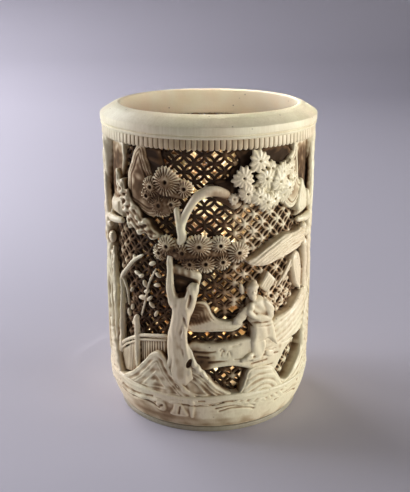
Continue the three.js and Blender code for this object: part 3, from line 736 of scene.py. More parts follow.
def framed_panel(name, at, side):
    """Plain sunk board beside the lattice at the edge of the view, with a drum and knobs under it."""
    block = Block(-8, 24, 72, 110, at, side)
    block.relief([(-6, 85), (8, 86), (13, 88), (19, 97), (21, 104), (20, 109), (-6, 109)],
                 37.2, fall=0.2, roll=0.6, smooth=False, rough=0.15)
    block.limbs([(-4, 109, 38.6, 1.5), (-3, 97, 39, 1.4), (0, 88, 39.2, 1.6), (3, 80, 39, 1.6)])
    block.relief([(4, 80.5), (18, 80.5), (18.5, 88), (3.5, 88)], 39, fall=2.2, roll=3.4, smooth=False,
                 carve=lambda u, v, depth: -0.15 * np.cos(u * math.tau / 1.3))
    block.limbs([(1, 79.4, 38.8, 1.3), (10, 79.2, 38.9, 1.4), (19, 79.6, 38, 1.0)])
    block.stain_and_shading((12, 98, (9, 10), 0.4))
    keep(name, block)


def hanging_leaf():
    """Large folded leaves, sticks and knobs at the right of the lattice."""
    block = Block(38, 84, 52, 98)
    block.relief([(63, 95), (67, 92), (72, 87), (68, 83), (61, 82.6), (58, 84.8), (60, 90)],
                 39.2, rings=(1.3,))
    block.relief([(55, 64), (58, 67), (64, 66), (69, 58), (68, 51), (62, 53), (58, 58)],
                 38.6, fall=1.1, rings=(1.2,))
    block.limbs([(42.6, 56.4, 37.4, 0.5), (48, 60.3, 37.8, 0.6), (53.6, 64.6, 37.8, 0.6)],
                [(48.6, 57.6, 36.8, 0.5), (58, 64, 37.2, 0.6)])
    for at, height, radii in [(66, 76.2, (2.0, 1.6, 1.6)), (71, 73.4, (2.2, 2.2, 1.8)),
                              (65, 71.6, (1.6, 1.2, 1.2)), (70, 68.6, (2.4, 1.8, 1.5))]:
        block.ball(at, height, 38.6, radii)
    block.limbs([(69, 70, 38.2, 1.4), (71, 62, 38.4, 1.5), (70, 54, 38.4, 1.4), (71, 46, 38.6, 1.6)],
                [(75, 88, 38.2, 1.2), (77, 78, 38.6, 1.6), (76, 66, 38.8, 1.7), (78, 54, 39, 1.6)])
    keep("hanging_leaf", block)


def pebbled_rocks():
    """Pale pitted rocks at both edges of the view."""
    def pits(u, v, depth):
        return 0.3 * wobble(u, v, 2.4, 21) * ease(0.2, 1, depth)

    rock("left_pebbles", [
        (-94, 12), (-95, 30), (-88, 37), (-78, 37), (-71, 33.5), (-66, 27), (-62, 20), (-56, 14), (-58, 11)],
        40.1, rings=(), carve=pits)
    rock("right_pebbles", [
        (70, 14), (68, 24), (67, 33), (70, 41), (77, 46), (86, 44), (92, 34), (92, 14)],
        40.2, rings=(), carve=pits)


def pine(name, at, side):
    """Old pine: a forked trunk with roots, tufts of needles, and a bough that arches over to one side."""
    trunk = Block(-22, 32, 20, 100, at, side)
    trunk.limbs([(-0.6, 25, 37.0, 5.9), (-1.0, 29, 37.2, 5.3), (-2.6, 33.5, 37.5, 4.6), (-3.4, 38, 37.7, 3.9),
                 (-2.2, 43.5, 37.9, 3.5), (-0.4, 49, 37.9, 3.7), (0.6, 53, 37.8, 4.3)], flat=1.55)
    trunk.limbs([(-4, 52.5, 38, 2.2), (-6, 56.6, 38.4, 1.6), (-6.6, 60.4, 38.5, 1.25), (-6.5, 65, 38.3, 1.0),
                 (-7.2, 70, 37.2, 1.1), (-3.4, 74.4, 36.8, 1.2), (0.2, 77.6, 38.2, 1.5),
                 (-0.2, 81.4, 38.7, 1.4), (0.1, 83.4, 38.8, 1.5)])
    trunk.limbs([(2.6, 52.5, 37.9, 3.0), (4.6, 56.2, 38.1, 2.5), (6.2, 59.2, 38.2, 2.1)], flat=1.2)
    trunk.ball(7.6, 59.8, 38.4, (1.1, 1.5, 1.5), turn=-30, soft=0.5)
    trunk.relief([(-7, 54), (-7.4, 65.6), (-2, 66.2), (5, 64.6), (10, 62.4), (7, 56), (2, 53)],
                 36.9, fall=0.3, rough=0.3)
    trunk.limbs([(-6.5, 65.6, 36.2, 0.9), (-3, 65.2, 36.5, 1.1), (1.5, 64.9, 36.6, 1.2),
                 (5.5, 64.3, 36.5, 1.1), (9, 63.2, 36.2, 0.8)], soft=1.4, flat=1.2)
    trunk.limbs([(-0.2, 82.6, 38.7, 1.3), (-1.4, 85.2, 38.7, 1.1), (-2.4, 88, 38.4, 1.0)])
    trunk.limbs([(0.4, 83, 38.7, 1.4), (2.8, 86.9, 38.9, 1.3), (5.9, 90.6, 39, 1.3), (8.9, 93.3, 39, 1.5),
                 (13.4, 94.9, 38.6, 1.7), (18.7, 95, 38, 1.7), (24, 93.8, 37.4, 1.4)], flat=1.35)
    trunk.relief([(12, 96), (19, 97), (25, 95.6), (31, 93), (33.5, 89.5), (29, 87.6), (24, 89.4), (18, 91.4)],
                 37.6, fall=1.6, roll=2.6, rough=0.2, soft=1.2)
    trunk.limbs([(3.4, 36, 38.6, 1.3), (5, 32, 38.9, 1.25), (8.4, 28.4, 39.2, 1.1), (13.4, 24.6, 39.3, 0.8)],
                [(1.6, 33, 39.2, 1.1), (2.2, 29.6, 39.5, 1.0), (4.4, 26.4, 39.6, 0.8)])
    trunk.limbs([(3.4, 52, 39.3, 0.7), (2.8, 46, 39.5, 0.8), (1.6, 41, 39.5, 0.7), (1.8, 36, 39.5, 0.8),
                 (3.6, 32, 39.8, 0.7)], soft=0.9)
    trunk.limbs([(-5.4, 32, 38.4, 1.6), (-7, 29, 38.6, 1.4), (-9, 27, 38.6, 1.0)])
    trunk.ball(4.0, 30.2, 40, (0.9, 2.0, 1.8), turn=-24, soft=0.2, cut=True)
    trunk.ball(-0.6, 58.6, 39.6, (2.6, 3.2, 2.6), soft=0.4, cut=True)
    trunk.ball(4.4, 54.6, 40.3, (0.7, 3.0, 0.9), turn=-14, soft=0.4, cut=True)
    trunk.ball(2.6, 49.8, 40.4, (0.9, 0.9, 0.6), soft=0.5)
    trunk.ball(2.1, 46.4, 40.1, (0.6, 2.2, 0.5), turn=10 * side, soft=0.4, cut=True)
    trunk.ball(1.2, 41.2, 40.1, (1.0, 1.2, 0.5))
    trunk.ball(1.5, 36.6, 39.9, (0.9, 0.9, 0.5), soft=0.5)
    u, v, w = trunk.u, trunk.v, trunk.w
    bark = np.sin(2.6 * (u - at * ARC) * side + 1.3 * np.sin(v / 3.1) + 0.8 * np.sin(v / 1.3))
    bark = BARK_DEPTH * bark * ease(37, 38.5, w) * ease(88, 78, v)
    trunk.field = (trunk.field + bark).astype(np.float32)
    # painted shade in the crotch, under the shelf and the drape and in the hole between the roots, a painted
    # highlight down the ridge at the right, and a few smaller darker patches
    trunk.stain_and_shading((1, 59.6, (4.4, 4.6), 0.4), (-0.6, 62.6, (3.6, 1.6), 0.2), (-2.4, 38, (2.2, 7), 0.1),
                (4, 30.4, (1.4, 2.4), 0.3), (2, 49, (0.9, 5), -0.1), (24, 92.6, (8, 5), 0.5),
                (13, 94, (5, 3), 0.14), (-6.4, 70, (1.4, 3), 0.1), (1, 64.9, (6, 1.6), 0.3),
                (6, 91, (5, 3), 0.12))
    keep(name + "_trunk", trunk)

    high = Block(-26, 8, 81, 106, at, side)
    high.limbs([(-18, 95, 36.8, 1.6), (-10, 94.5, 36.8, 2.2), (0, 93.5, 36.8, 1.8)])
    high.ball(-11, 89.5, 37.0, (4.6, 4.2, 1.6))
    for row in [(-20.4, 91.8, 3.4, 39.0, 15), (-12.6, 88.8, 4.9, 38.9, 24), (-5.6, 89.6, 3.3, 38.8, 16),
                (-16.9, 95.4, 4.1, 39.8, 18), (2.0, 95.9, 3.5, 40.1, 16), (-7.6, 97.9, 5.6, 40.5, 24)]:
        high.tuft(*row, lean=0.1)
    # the tint darkens the upper tufts, partly as stain and partly as painted shade among them
    keep(name + "_upper_needles", high, 0.6)

    middle = Block(-18, 40, 62, 84, at, side)
    middle.limbs([(-12, 73, 36.9, 1.6), (0, 71.5, 37, 2.0), (14, 72.5, 37, 1.9), (28, 72, 36.8, 1.5)])
    for row in [(-13.4, 71.2, 3.3, 38.8, 15), (-3.8, 73.2, 3.4, 39.3, 16), (4.4, 68.2, 3.6, 39.0, 16),
                (12.9, 68.6, 4.0, 39.4, 17), (22, 69.2, 3.6, 39.2, 16), (-8, 74.4, 4.2, 39.9, 18),
                (0.6, 72.4, 3.9, 39.6, 17), (20.6, 75.6, 4.0, 40.1, 18), (30.4, 72.6, 4.4, 40.1, 19),
                (9.6, 75.3, 4.9, 40.5, 21)]:
        middle.tuft(*row, lean=0.12)
    # the patches and the tint darken the lower tufts, partly as stain and partly as painted shade among and
    # under them
    middle.stain_and_shading((-4, 70, (6, 4), 0.25), (12, 70, (7, 3), 0.12))
    keep(name + "_middle_needles", middle, 0.52)


def painted_shade_backing(name, outline):
    """Uneven ground left standing behind leaves, tinted near black as painted deep shade."""
    rock(name, outline, 36.9, rings=(), fall=0.4, rough=0.35, tint=0.8)


def maple():
    """Star leaves of a maple on thin twigs, hanging in front of the lattice."""
    block = Block(22, 74, 84, 110, at=-14)
    block.limbs([(70, 106, 37, 1.1), (58, 101, 37.4, 1.0), (44, 97, 37.4, 0.9), (30, 93, 37.2, 0.8)],
                [(58, 101, 37.4, 0.9), (47, 103, 37.6, 0.8), (38, 104.5, 37.6, 0.7)],
                [(50, 98.5, 37.4, 0.8), (52, 92, 37.4, 0.7), (46, 88.5, 37.4, 0.6)])
    leaves = [
        (27.5, 91.9, 2.4, 38.6), (44, 96, 3.6, 38.8), (49.5, 95.4, 3.6, 38.9), (66.5, 96.2, 3.4, 39.2),
        (34.3, 93.6, 3.6, 39.8), (31.9, 99.4, 4.3, 40.2), (40.5, 105.1, 4.5, 40.4), (45, 98.4, 4.2, 39.9),
        (55.5, 100, 3.9, 40.0), (53.6, 96.7, 4.2, 40.4), (60.4, 93.7, 3.9, 40.3), (57, 91.6, 3.5, 39.8),
        (41, 92.1, 3.6, 40.2), (45.3, 90, 3.7, 40.3), (51, 90.6, 3.3, 39.6), (63, 100.5, 3.4, 39.6),
        (49.6, 101.6, 3.0, 39.0)]
    for i, leaf in enumerate(leaves):
        block.leaf(*leaf, points=10 + i % 3, turn=i * 0.9, lean=(0.05 * (i % 3 - 1), 0.06 * (i % 2)))
    keep("maple_leaves", block)


def scholar(name, at, side, base):
    """Standing figure in a wide robe and soft hat, looking aside, with a wrapped zither on the back.
    Heights in it are above the ground at base."""
    block = Block(-16, 16, base - 2, base + 38, at, side)

    def rows(*lines):
        return [[(turn, base + height, *rest) for turn, height, *rest in line] for line in lines]

    def slab(points, crown, roll):
        block.relief(rows(points)[0], crown, fall=0.8 * roll, roll=roll, soft=0.4)

    slab([(-3.6, 7.6), (-3.8, 2.4), (-1, 0.4), (4.6, 0.6), (5.6, 7.8)], 40.2, 1.6)
    slab([(-1.8, 14.8), (-2.9, 10), (-4.5, 6.7), (0, 6.2), (5.1, 7.2), (9, 6), (15.4, 2.4), (13.6, 6.6),
          (11.5, 12), (9.6, 14.6)], 40.4, 1.8)
    slab([(-3.2, 24), (-5, 21.5), (-5, 18), (-3, 14.5), (4, 13.2), (9.8, 13.4), (10.2, 17), (8.6, 20.6),
          (5, 23.6), (1, 24.8)], 39.8, 2.4)
    block.limbs(*rows([(-1.8, 24.4, 38, 1.3), (-2.8, 26, 38.2, 1.3)]))
    block.ball(-3, base + 27.1, 38.6, (2.1, 2.4, 2.0), soft=0.4)
    block.ball(-2.6, base + 28.9, 38.5, (2.4, 1.5, 2.1), soft=0.2)
    block.ball(-1.8, base + 30.2, 38.1, (1.4, 1.0, 1.4), soft=0.3)
    block.limbs(*rows([(5.4, 21.8, 38.8, 1.6), (8, 18.8, 39, 1.9), (7.4, 15.8, 39.1, 1.9)],
                      [(7, 15.8, 39.2, 1.6), (3, 16.2, 39.5, 1.5), (-0.6, 17.2, 39.7, 1.2)]),
                soft=0.25, flat=1.25)
    block.limbs(*rows([(-3.2, 21.8, 38.9, 1.3), (-4.6, 19.4, 39.3, 1.3), (-2.4, 17.6, 39.6, 1.2)]),
                soft=0.25, flat=1.2)
    block.ball(-1.9, base + 17.4, 40.0, (1.0, 0.8, 0.6), soft=0.3)
    block.limbs(*rows([(-4.6, 21.4, 38.4, 0.9), (-7.6, 18.8, 38.6, 1.6), (-10.6, 16.4, 38.4, 1.7),
                       (-12.6, 14.8, 38.1, 0.8)]), flat=1.8)
    block.limbs(*rows([(-8.4, 0.6, 39.4, 0.9), (-6, 1.2, 39.5, 1.2), (-3.6, 2.2, 39.2, 1.3)],
                      [(-2, 0.4, 39.6, 0.9), (1, 0.4, 39.5, 1.0)]), soft=0.3)
    slab([(5.4, 2.8), (6, 0.2), (11.4, -0.6), (11.2, 2.2)], 39.8, 0.8)
    block.limbs(*rows([(-8.4, 26.6, 38, 0.5), (-8.8, 28.4, 38, 0.7), (-9.2, 30, 38, 0.4)]))

    x, y = (block.u - at * ARC) * side, block.v - base
    skirt = np.sin(1.5 * x + 0.5 * (y - 8) + 0.9 * np.sin(y / 3.5)) * ease(17, 13, y)
    chest = np.sin(1.9 * (y + 0.9 * x)) * ease(13, 16, y) * ease(25.5, 23, y)
    sash = np.exp(-((y - 13.4 + 0.1 * x) / 0.35) ** 2)
    folds = (0.13 * skirt + 0.12 * chest + 0.4 * sash) * ease(36.8, 38, block.w)
    block.field = (block.field + folds).astype(np.float32)
    for turn, height in [(-4.2, 27.5), (-2.4, 27.4)]:
        block.ball(turn, base + height, 40.3, (0.45, 0.28, 0.5), soft=0.2, cut=True)
    block.ball(-3.4, base + 26.8, 40.5, (0.34, 0.6, 0.4), soft=0.3)
    block.limbs(*rows([(-4.1, 25.8, 40.3, 0.2), (-3.4, 25.7, 40.4, 0.2), (-2.7, 25.8, 40.3, 0.2)]),
                soft=0.1, cut=True)
    keep(name, block)

    zither = Block(0, 17, base + 22, base + 38, at, side)
    string = zither.moved([(0, base + 30), (8, base + 37)])
    zither.relief(rows([(1.6, 28.4), (7.4, 33.6), (13.4, 29.6), (7.2, 25)])[0],
                  38.8, fall=0.5, smooth=False, carve=strokes(string, 1.1, 0.4))
    keep(name + "_zither", zither)


def fence():
    """Slatted garden fence: a panel on each side of a tall post, with a double rail."""
    block = Block(-26, 22, 16, 46, at=-44.5)

    def slats(u, v, depth):
        return -0.4 * (0.5 + 0.5 * np.cos(u * math.tau / 1.25)) ** 2

    for panel in ([(-23, 24), (-2, 33.6), (-1, 20), (-17, 17.5)], [(1, 22), (1, 35.2), (20, 38), (20, 26)]):
        block.relief(panel, 37.8, smooth=False, fall=0.3, carve=slats, rough=0.04)
    for lift, thick in [(1.2, 0.65), (-0.6, 0.4)]:
        for rail in ([(-24, 24.6, 38), (-12, 30.4, 38), (-1, 34.4, 38)],
                     [(1, 35.4, 38.1), (10, 36.8, 38.1), (20, 38, 38.1)]):
            block.limbs([(turn, height + lift, depth, thick) for turn, height, depth in rail])
    block.limbs([(0, 24, 38.2, 1.2), (0, 34, 38.3, 1.15), (-0.4, 42, 38.2, 1.0)],
                [(-4.6, 40.2, 37.6, 0.6), (-2.4, 41.4, 37.9, 0.9), (-0.6, 43.6, 38, 1.0)])
    keep("garden_fence", block, 0.1)


def edge_tree(name, at, side):
    """Tall weathered tree that fills the wall from the ground to the border at the edge of the view."""
    block = Block(-14, 22, 20, 110, at, side)
    block.limbs([(0, 24, 37, 4.2), (0.5, 34, 37.6, 3.4), (-1, 44, 37.8, 3.6), (0.5, 54, 37.8, 3.2),
                 (2, 62, 37.6, 2.6), (0, 72, 37.6, 3.0), (-1, 82, 37.8, 2.6), (1, 92, 37.6, 2.8),
                 (2.5, 101, 37.4, 3.2), (4, 110, 37, 3.6)], flat=1.05)
    block.limbs(
        [(6, 22, 38, 1.8), (7.6, 34, 38.4, 1.5), (7, 46, 38.6, 1.4), (8, 56, 38.4, 1.2), (6, 64, 38.2, 0.9)],
        [(11, 24, 37.8, 1.6), (13, 36, 38, 1.4), (12.4, 48, 38.2, 1.5), (10.5, 58, 38, 1.1),
         (7, 66, 37.8, 0.8)],
        [(17, 26, 37.4, 1.5), (18.5, 36, 37.6, 1.3), (19.5, 46, 37.6, 1.0), (19, 56, 37.4, 0.8)],
        [(-3, 30, 38.6, 1.6), (-4.5, 42, 38.8, 1.4), (-3, 56, 38.6, 1.3), (-4, 70, 38.4, 1.3)],
        [(-5, 78, 38.2, 1.3), (-7, 90, 38.2, 1.5), (-5, 102, 38, 1.6)], soft=0.4)
    block.ball(2, 75, 38.6, (3.2, 1.6, 1.5))
    block.ball(6, 70, 38.2, (2.4, 2.4, 1.4))
    block.ball(9, 80, 37.8, (2.2, 3.0, 1.6))
    u, v, w = block.u, block.v, block.w
    bark = np.sin(3.1 * (u - at * ARC) + 1.1 * np.sin(v / 4.3) + 0.6 * np.sin(v / 1.9))
    knots = 0.35 * wobble(u, v, TOOL_MARK, 4)
    bark = (BARK_DEPTH * bark + knots) * ease(36.5, 38, w)
    block.field = (block.field + bark).astype(np.float32)
    block.stain_and_shading((4, 70, (6, 3), 0.3), (3, 40, (1.6, 14), 0.2), (9.4, 44, (1.3, 16), 0.24),
                (15, 38, (1.2, 14), 0.24), (-2, 88, (1.6, 12), 0.2), (4.5, 92, (3, 10), 0.24),
                (8, 62, (4, 3), 0.2))
    keep(name, block)


def pavilion(at, base):
    """Garden pavilion: a tiled hipped roof on four posts above a railing."""
    reach = 20
    block = Block(-reach - 3, reach + 3, base, base + 53, at)
    eaves = [(1.08, 36.5), (0.82, 38.2), (0.5, 42), (0.22, 47)]
    half = [(-share, height) for share, height in reversed(eaves[1:])]
    roof = [(-1.08, 36.5), (-0.9, 35.2), (0.9, 35.2), *eaves, (0, 49.5), *half]

    def tiles(u, v, depth):
        fan = (u - at * ARC) / np.maximum(base + 56 - v, 1)
        return -0.45 * (0.5 + 0.5 * np.cos(fan * 34)) * ease(0.5, 1.2, depth)

    block.relief([(reach * share, base + height) for share, height in roof],
                 39.6, back=35, smooth=False, fall=0.6, carve=tiles, lean=-0.06)
    for share in (-0.72, -0.26, 0.26, 0.72):
        post = [(1, 37.6, 0.9), (18, 37.6, 0.85), (36, 37.8, 0.9)]
        block.limbs([(reach * share, base + height, *rest) for height, *rest in post])
    for height in (5, 11, 33):
        block.limbs([(reach * share, base + height, 37.4, 0.7) for share in (-0.8, 0, 0.8)])
    for share in np.linspace(-0.72, 0.72, 13):
        block.limbs([(reach * share, base + height, 37.3, 0.35) for height in (5, 11)])
    block.ball(0, base + 50.4, 38.6, (1.2, 1.6, 1.2))
    keep("pavilion", block)


def back_scene():
    """Rocks, peaks, clouds and hills at the back, in the manner of the front."""
    for name, crown, outline in [
            ("back_rock_west", 40.2, [
                (-182, 12), (-178, 24), (-168, 29), (-160, 31), (-152, 28), (-144, 26), (-136, 27),
                (-128, 24), (-126, 13), (-150, 11)]),
            ("back_rock_middle", 40.0, [
                (-130, 12), (-128, 25), (-120, 29), (-108, 32), (-98, 34), (-88, 31), (-84, 22), (-82, 12),
                (-104, 11)]),
            ("back_rock_side", 40.0, [
                (76, 12), (78, 28), (86, 34), (96, 32), (106, 29), (116, 25), (124, 26), (130, 13),
                (100, 11)]),
            ("back_rock_east", 40.3, [
                (122, 12), (128, 25), (136, 30), (148, 33), (160, 33.5), (170, 30), (178, 27), (186, 22),
                (184, 12), (150, 11)])]:
        rock(name, outline, crown, rings=(1.0, 2.3, 3.8), ring_depth=0.5)
    for name, crown, outline in [
            ("back_peak_west", 37.6, [
                (176, 30), (178, 70), (184, 92), (190, 101), (195, 98), (200, 104), (207, 108.5), (214, 103),
                (220, 94), (226, 84), (231, 70), (233, 52), (228, 34), (200, 28)]),
            ("back_peak_east", 37.2, [
                (126, 34), (129, 56), (134, 74), (140, 88), (146, 94), (151, 103), (157, 108.8), (163, 104),
                (169, 96), (176, 99), (181, 90), (186, 74), (184, 40), (150, 28)])]:
        ridges = strokes([(outline[0][0], 120), (outline[6][0], 80), (outline[10][0], 20)], 4.6, 0.3)
        rock(name, outline, crown, rings=(1.1, 2.6, 4.3, 6.4), ring_depth=0.45, carve=ridges)
    cloud, hill = (39.2, (0.8,), 1.9, 0.55), (38.8, (1.0, 2.3), 2.2, 0.3)
    for name, (crown, rings, pitch, depth), line, outline in [
            ("back_cloud_west", cloud, [(-175, 66), (-150, 78), (-120, 88)], [
                (-174, 62), (-166, 66), (-158, 69.5), (-148, 74), (-136, 80), (-124, 85), (-120, 80),
                (-130, 72), (-144, 65), (-158, 60)]),
            ("back_hill_west", hill, [(-136, 52), (-98, 60)], [
                (-136, 38), (-130, 47), (-122, 54), (-112, 59), (-102, 57), (-97, 48), (-100, 39),
                (-116, 36)]),
            ("back_hill_east", hill, [(98, 58), (130, 50)], [
                (97, 38), (98, 48), (106, 55), (113, 58), (121, 52), (128, 45), (133, 39), (116, 35)]),
            ("back_cloud_east", cloud, [(96, 95), (120, 90), (144, 78)], [
                (96, 86), (98, 92), (108, 91.5), (120, 87), (132, 80), (143, 75), (140, 71.5), (128, 73),
                (114, 78), (102, 82)])]:
        rock(name, outline, crown, rings=rings, carve=strokes(line, pitch, depth))


def left_leaves():
    """Small curved leaves and thin stems on the lattice at the left of the pine."""
    block = Block(-66, -22, 38, 72, back=35)
    for at, height, long, wide, turn in [
            (-46, 60.6, 2.0, 0.8, -10), (-42.6, 60, 1.5, 0.7, 35), (-40, 57.4, 1.6, 0.9, -60),
            (-38.6, 54.6, 1.6, 0.8, 20), (-42, 51.6, 2.3, 1.0, 8), (-36.6, 52, 1.8, 0.7, 40),
            (-35, 49.6, 1.6, 0.8, -30), (-32, 46.6, 1.6, 0.7, 60), (-56, 43, 0.9, 1.7, 15),
            (-52, 46, 0.8, 1.5, -20), (-31, 58, 1.6, 0.8, 10), (-30, 62, 1.5, 0.8, -30),
            (-34, 66, 1.8, 0.9, 20), (-48, 66.5, 1.4, 0.7, -30), (-52, 53, 1.3, 0.7, 60)]:
        block.ball(at, height, 36.6, (long, wide, 0.8), turn=turn)
    block.limbs([(-44, 44, 36.2, 0.4), (-40, 51, 36.4, 0.4), (-37, 58, 36.4, 0.4), (-32, 64, 36.2, 0.4)],
                [(-61, 46, 36.6, 0.6), (-62, 52, 37, 0.75), (-61, 57, 37.4, 0.8), (-55, 61, 37.4, 0.7),
                 (-48, 65.5, 37.2, 0.65), (-41, 68.4, 36.8, 0.5)],
                [(-61, 57, 37.2, 0.7), (-57.6, 52, 36.6, 0.5), (-57, 46, 36.2, 0.4)])
    keep("left_leaves", block, 0.4)


# Pierced lattice behind the carving
RING_SECTION = [(-1, 34.3), (-1, 35.5), (-0.5, 35.85), (0.5, 35.85), (1, 35.5), (1, 34.3)]  # (share, radius)
RING_HALF_WIDTH = 0.52
RING_STEPS = 24
HUB_LEVELS = [(1.0, 34.4), (1.0, 35.75), (0.72, 36.1), (0.3, 36.2)]  # (share of the hub's radius, radius)
HUB_RADIUS = 0.95
HUB_STEPS = 12
PLACE_JITTER = 0.05  # mm
HUB_JITTER = 0.04  # mm
SIZE_JITTER = 0.012  # share
CROSSING_RISE = 0.22  # mm that a ring stands higher where it crosses another
CUT_RADIUS = 37.0  # a ring is left out where carving fills this share of the room at this radius
CUT_SHARE = 0.93


def ring_mesh(centres, radii, rng):
    """Closed flat rings on the unrolled wall, cut deeper between the places where they cross."""
    share, depth = np.array(RING_SECTION).T
    turn = (np.arange(RING_STEPS) * math.tau / RING_STEPS)[None, :, None]
    count, sides = len(centres), len(RING_SECTION)
    centres = centres + rng.normal(0, PLACE_JITTER, (count, 2))
    sizes = 1 + rng.normal(0, SIZE_JITTER, count)
    sinks = rng.normal(0, PLACE_JITTER, count)
    reach = [radius * sizes[:, None, None] + RING_HALF_WIDTH * share for radius in radii]
    u = centres[:, 0, None, None] + reach[0] * np.cos(turn)
    v = centres[:, 1, None, None] + reach[1] * np.sin(turn)
    face = depth > (LATTICE_BACK + LATTICE_FACE) / 2
    raised = CROSSING_RISE * np.cos(4 * turn) * face
    w = np.broadcast_to(depth + sinks[:, None, None] + raised, u.shape)
    points = np.stack([u, v, w], axis=-1).reshape(-1, 3)
    crossing = np.broadcast_to(0.5 + 0.5 * np.cos(4 * turn), u.shape).ravel()
    first = (np.arange(count) * RING_STEPS * sides)[:, None, None]
    return points, (first + band_faces(RING_STEPS, sides)).reshape(-1, 4), crossing


def hub_mesh(centres, rng):
    """Small bosses where the rings cross."""
    turn = np.arange(HUB_STEPS) * math.tau / HUB_STEPS
    count, levels = len(centres), len(HUB_LEVELS)
    centres = centres + rng.normal(0, HUB_JITTER, (count, 2))
    points = []
    for share, depth in HUB_LEVELS:
        u = centres[:, 0, None] + HUB_RADIUS * share * np.cos(turn)
        v = centres[:, 1, None] + HUB_RADIUS * share * np.sin(turn)
        points.append(np.stack([u, v, np.full_like(u, depth)], axis=-1))
    points = np.stack(points, axis=1).reshape(-1, 3)
    first = (np.arange(count) * HUB_STEPS * levels)[:, None, None]
    here = first + (np.arange(levels - 1) * HUB_STEPS)[:, None]
    j = np.arange(HUB_STEPS)
    ahead = (j + 1) % HUB_STEPS
    sides = np.stack([here + j, here + ahead, here + HUB_STEPS + ahead, here + HUB_STEPS + j], axis=-1)
    front = first[:, 0] + (levels - 1) * HUB_STEPS + j
    back = first[:, 0] + j[::-1]
    return points, sides.reshape(-1, 4), np.concatenate([front, back])


def covered_share(full, centres):
    """How much of the room just in front of the lattice is filled at each centre."""
    place = np.column_stack([centres, np.full(len(centres), CUT_RADIUS)])
    return sampled(full, cell_of(place), True)


def lattice_stain_and_shading(points, crossing):
    """Stain and painted light on the lattice: painted shade between its crossings, on its sides and high up
    in its middle under the rim, and painted light at both edges of the front view, brightest on the crossings
    there."""
    angle = points[:, 0] / ARC
    right = ease(0, 24, angle) * (1 - ease(100, 140, angle))
    left = ease(-40, -62, angle) * (1 - ease(-100, -140, angle))
    side = 1 - ease(35.3, 35.8, points[:, 2])
    high = ease(72, 84, points[:, 1]) * (1 - right) * (1 - left)
    # painted light at both sides of the front view, painted shade high in the middle and on the rings' sides,
    # painted highlights on the crossings
    ground = 0.28 - 0.2 * right - 0.1 * left + 0.1 * high + 0.16 * side
    return ground - (0.02 + 0.16 * right + 0.08 * left) * crossing ** 2 * (1 - side)


def lattice(name, columns, spacing, anchor, low, high, seed):
    """Overlapping rings in staggered rows between two heights, in two halves."""
    rng = np.random.default_rng(seed)
    pitch = ROUND / columns
    rows = []
    for row in range(math.ceil((low - anchor[1]) / spacing), math.floor((high - anchor[1]) / spacing) + 1):
        shift = anchor[0] * ARC + (row % 2) * pitch / 2
        rows += [(shift + column * pitch, anchor[1] + row * spacing) for column in range(columns)]
    centres = np.array(rows)
    centres[:, 0] = (centres[:, 0] + ROUND / 2) % ROUND - ROUND / 2
    centres = centres[covered_share(whole_filling(NEAR_REACH), centres) < CUT_SHARE]
    at_front = np.abs(centres[:, 0]) < ROUND / 4
    for half, spots in [("front", centres[at_front]), ("back", centres[~at_front])]:
        points, faces, crossing = ring_mesh(spots, (pitch / 2, spacing), rng)
        carvings.append((f"{name}_{half}", points, faces, lattice_stain_and_shading(points, crossing), 0.0))
        corners = np.concatenate([spots + [pitch / 2, 0], spots + [0, spacing]])
        points, faces, caps = hub_mesh(corners, rng)
        stain_and_shading = lattice_stain_and_shading(points, np.ones(len(points)))
        carvings.append((f"{name}_{half}_crossings", points, faces, stain_and_shading, 0.0, caps))


# Colours of the materials, as stops of (place, colour) or as one colour
# stops from plain ivory through stain to the near black of the deepest painted shade
CARVED_STAIN_AND_SHADE_COLOURS = [(0.0, (0.82, 0.75, 0.57)), (0.12, (0.68, 0.58, 0.41)), (0.3, (0.38, 0.27, 0.16)),
                 (0.5, (0.15, 0.085, 0.042)), (0.85, (0.04, 0.022, 0.011))]
TURNED_CLOUDS = [(0.3, (0.78, 0.72, 0.54)), (0.7, (0.88, 0.83, 0.66))]
# a darker copy of the turned ivory for the foot ring: painted shade where it faces down under the pot
SHADED_FOOT_CLOUDS = [(0.3, (0.30, 0.28, 0.22)), (0.7, (0.40, 0.37, 0.30))]
WELL_WALL = [(0.38, (0.30, 0.15, 0.06)), (0.5, (0.66, 0.43, 0.20)), (0.62, (0.80, 0.66, 0.42))]
WELL_MOUTH = [(0.3, (0.95, 0.86, 0.66)), (0.7, (0.92, 0.78, 0.56))]
FIBRE_TINT = [(0.35, (0.86, 0.83, 0.76)), (0.65, (1, 1, 1))]
WARM_TINT = [(0.38, (1.0, 0.89, 0.82)), (0.62, (1.0, 1.0, 0.90))]
SPECK_SHAPE = [(0.0, (1, 1, 1)), (0.09, (0, 0, 0))]
PAPER_COLOUR = (0.56, 0.54, 0.63, 1)
PAPER_ROUGHNESS = 0.9

# Pattern sizes, as waves or cells per metre, and strengths
CLOUD_SCALE = 140.0
WARMTH_SCALE = 26.0
FIBRE_SCALE = 1500.0
FIBRE_STRETCH = 0.12
FINE_SCALE = 900.0
WELL_SCALE = 120.0
SPECK_SCALE = 210.0
FIBRE_SHARE = 0.5
WARM_SHARE = 0.7
CLOUD_STAIN = 0.45
CLOUD_BALANCE = -0.22
WELL_FADE = (0.0348, 0.0340)  # radii in metres where the colour of the well starts and is full
GLOSS_RANGE = (0.38, 0.55)
STAIN_ROUGHNESS = 0.9
SPECULAR = 0.35
BUMP_STRENGTH = 0.25
BUMP_HEIGHT = 0.0002


def nodes_of(name):
    """New material with its node tree and shader."""
    material = bpy.data.materials.new(name)
    material.use_nodes = True
    tree = material.node_tree
    return material, tree, tree.nodes["Principled BSDF"]


def linked(tree, kind, inputs=None, **settings):
    """New node with its settings, and its inputs linked or set."""
    node = tree.nodes.new(kind)
    for key, value in settings.items():
        setattr(node, key, value)
    for key, value in (inputs or {}).items():
        if isinstance(value, bpy.types.NodeSocket):
            tree.links.new(value, node.inputs[key])
        else:
            node.inputs[key].default_value = value
    return node


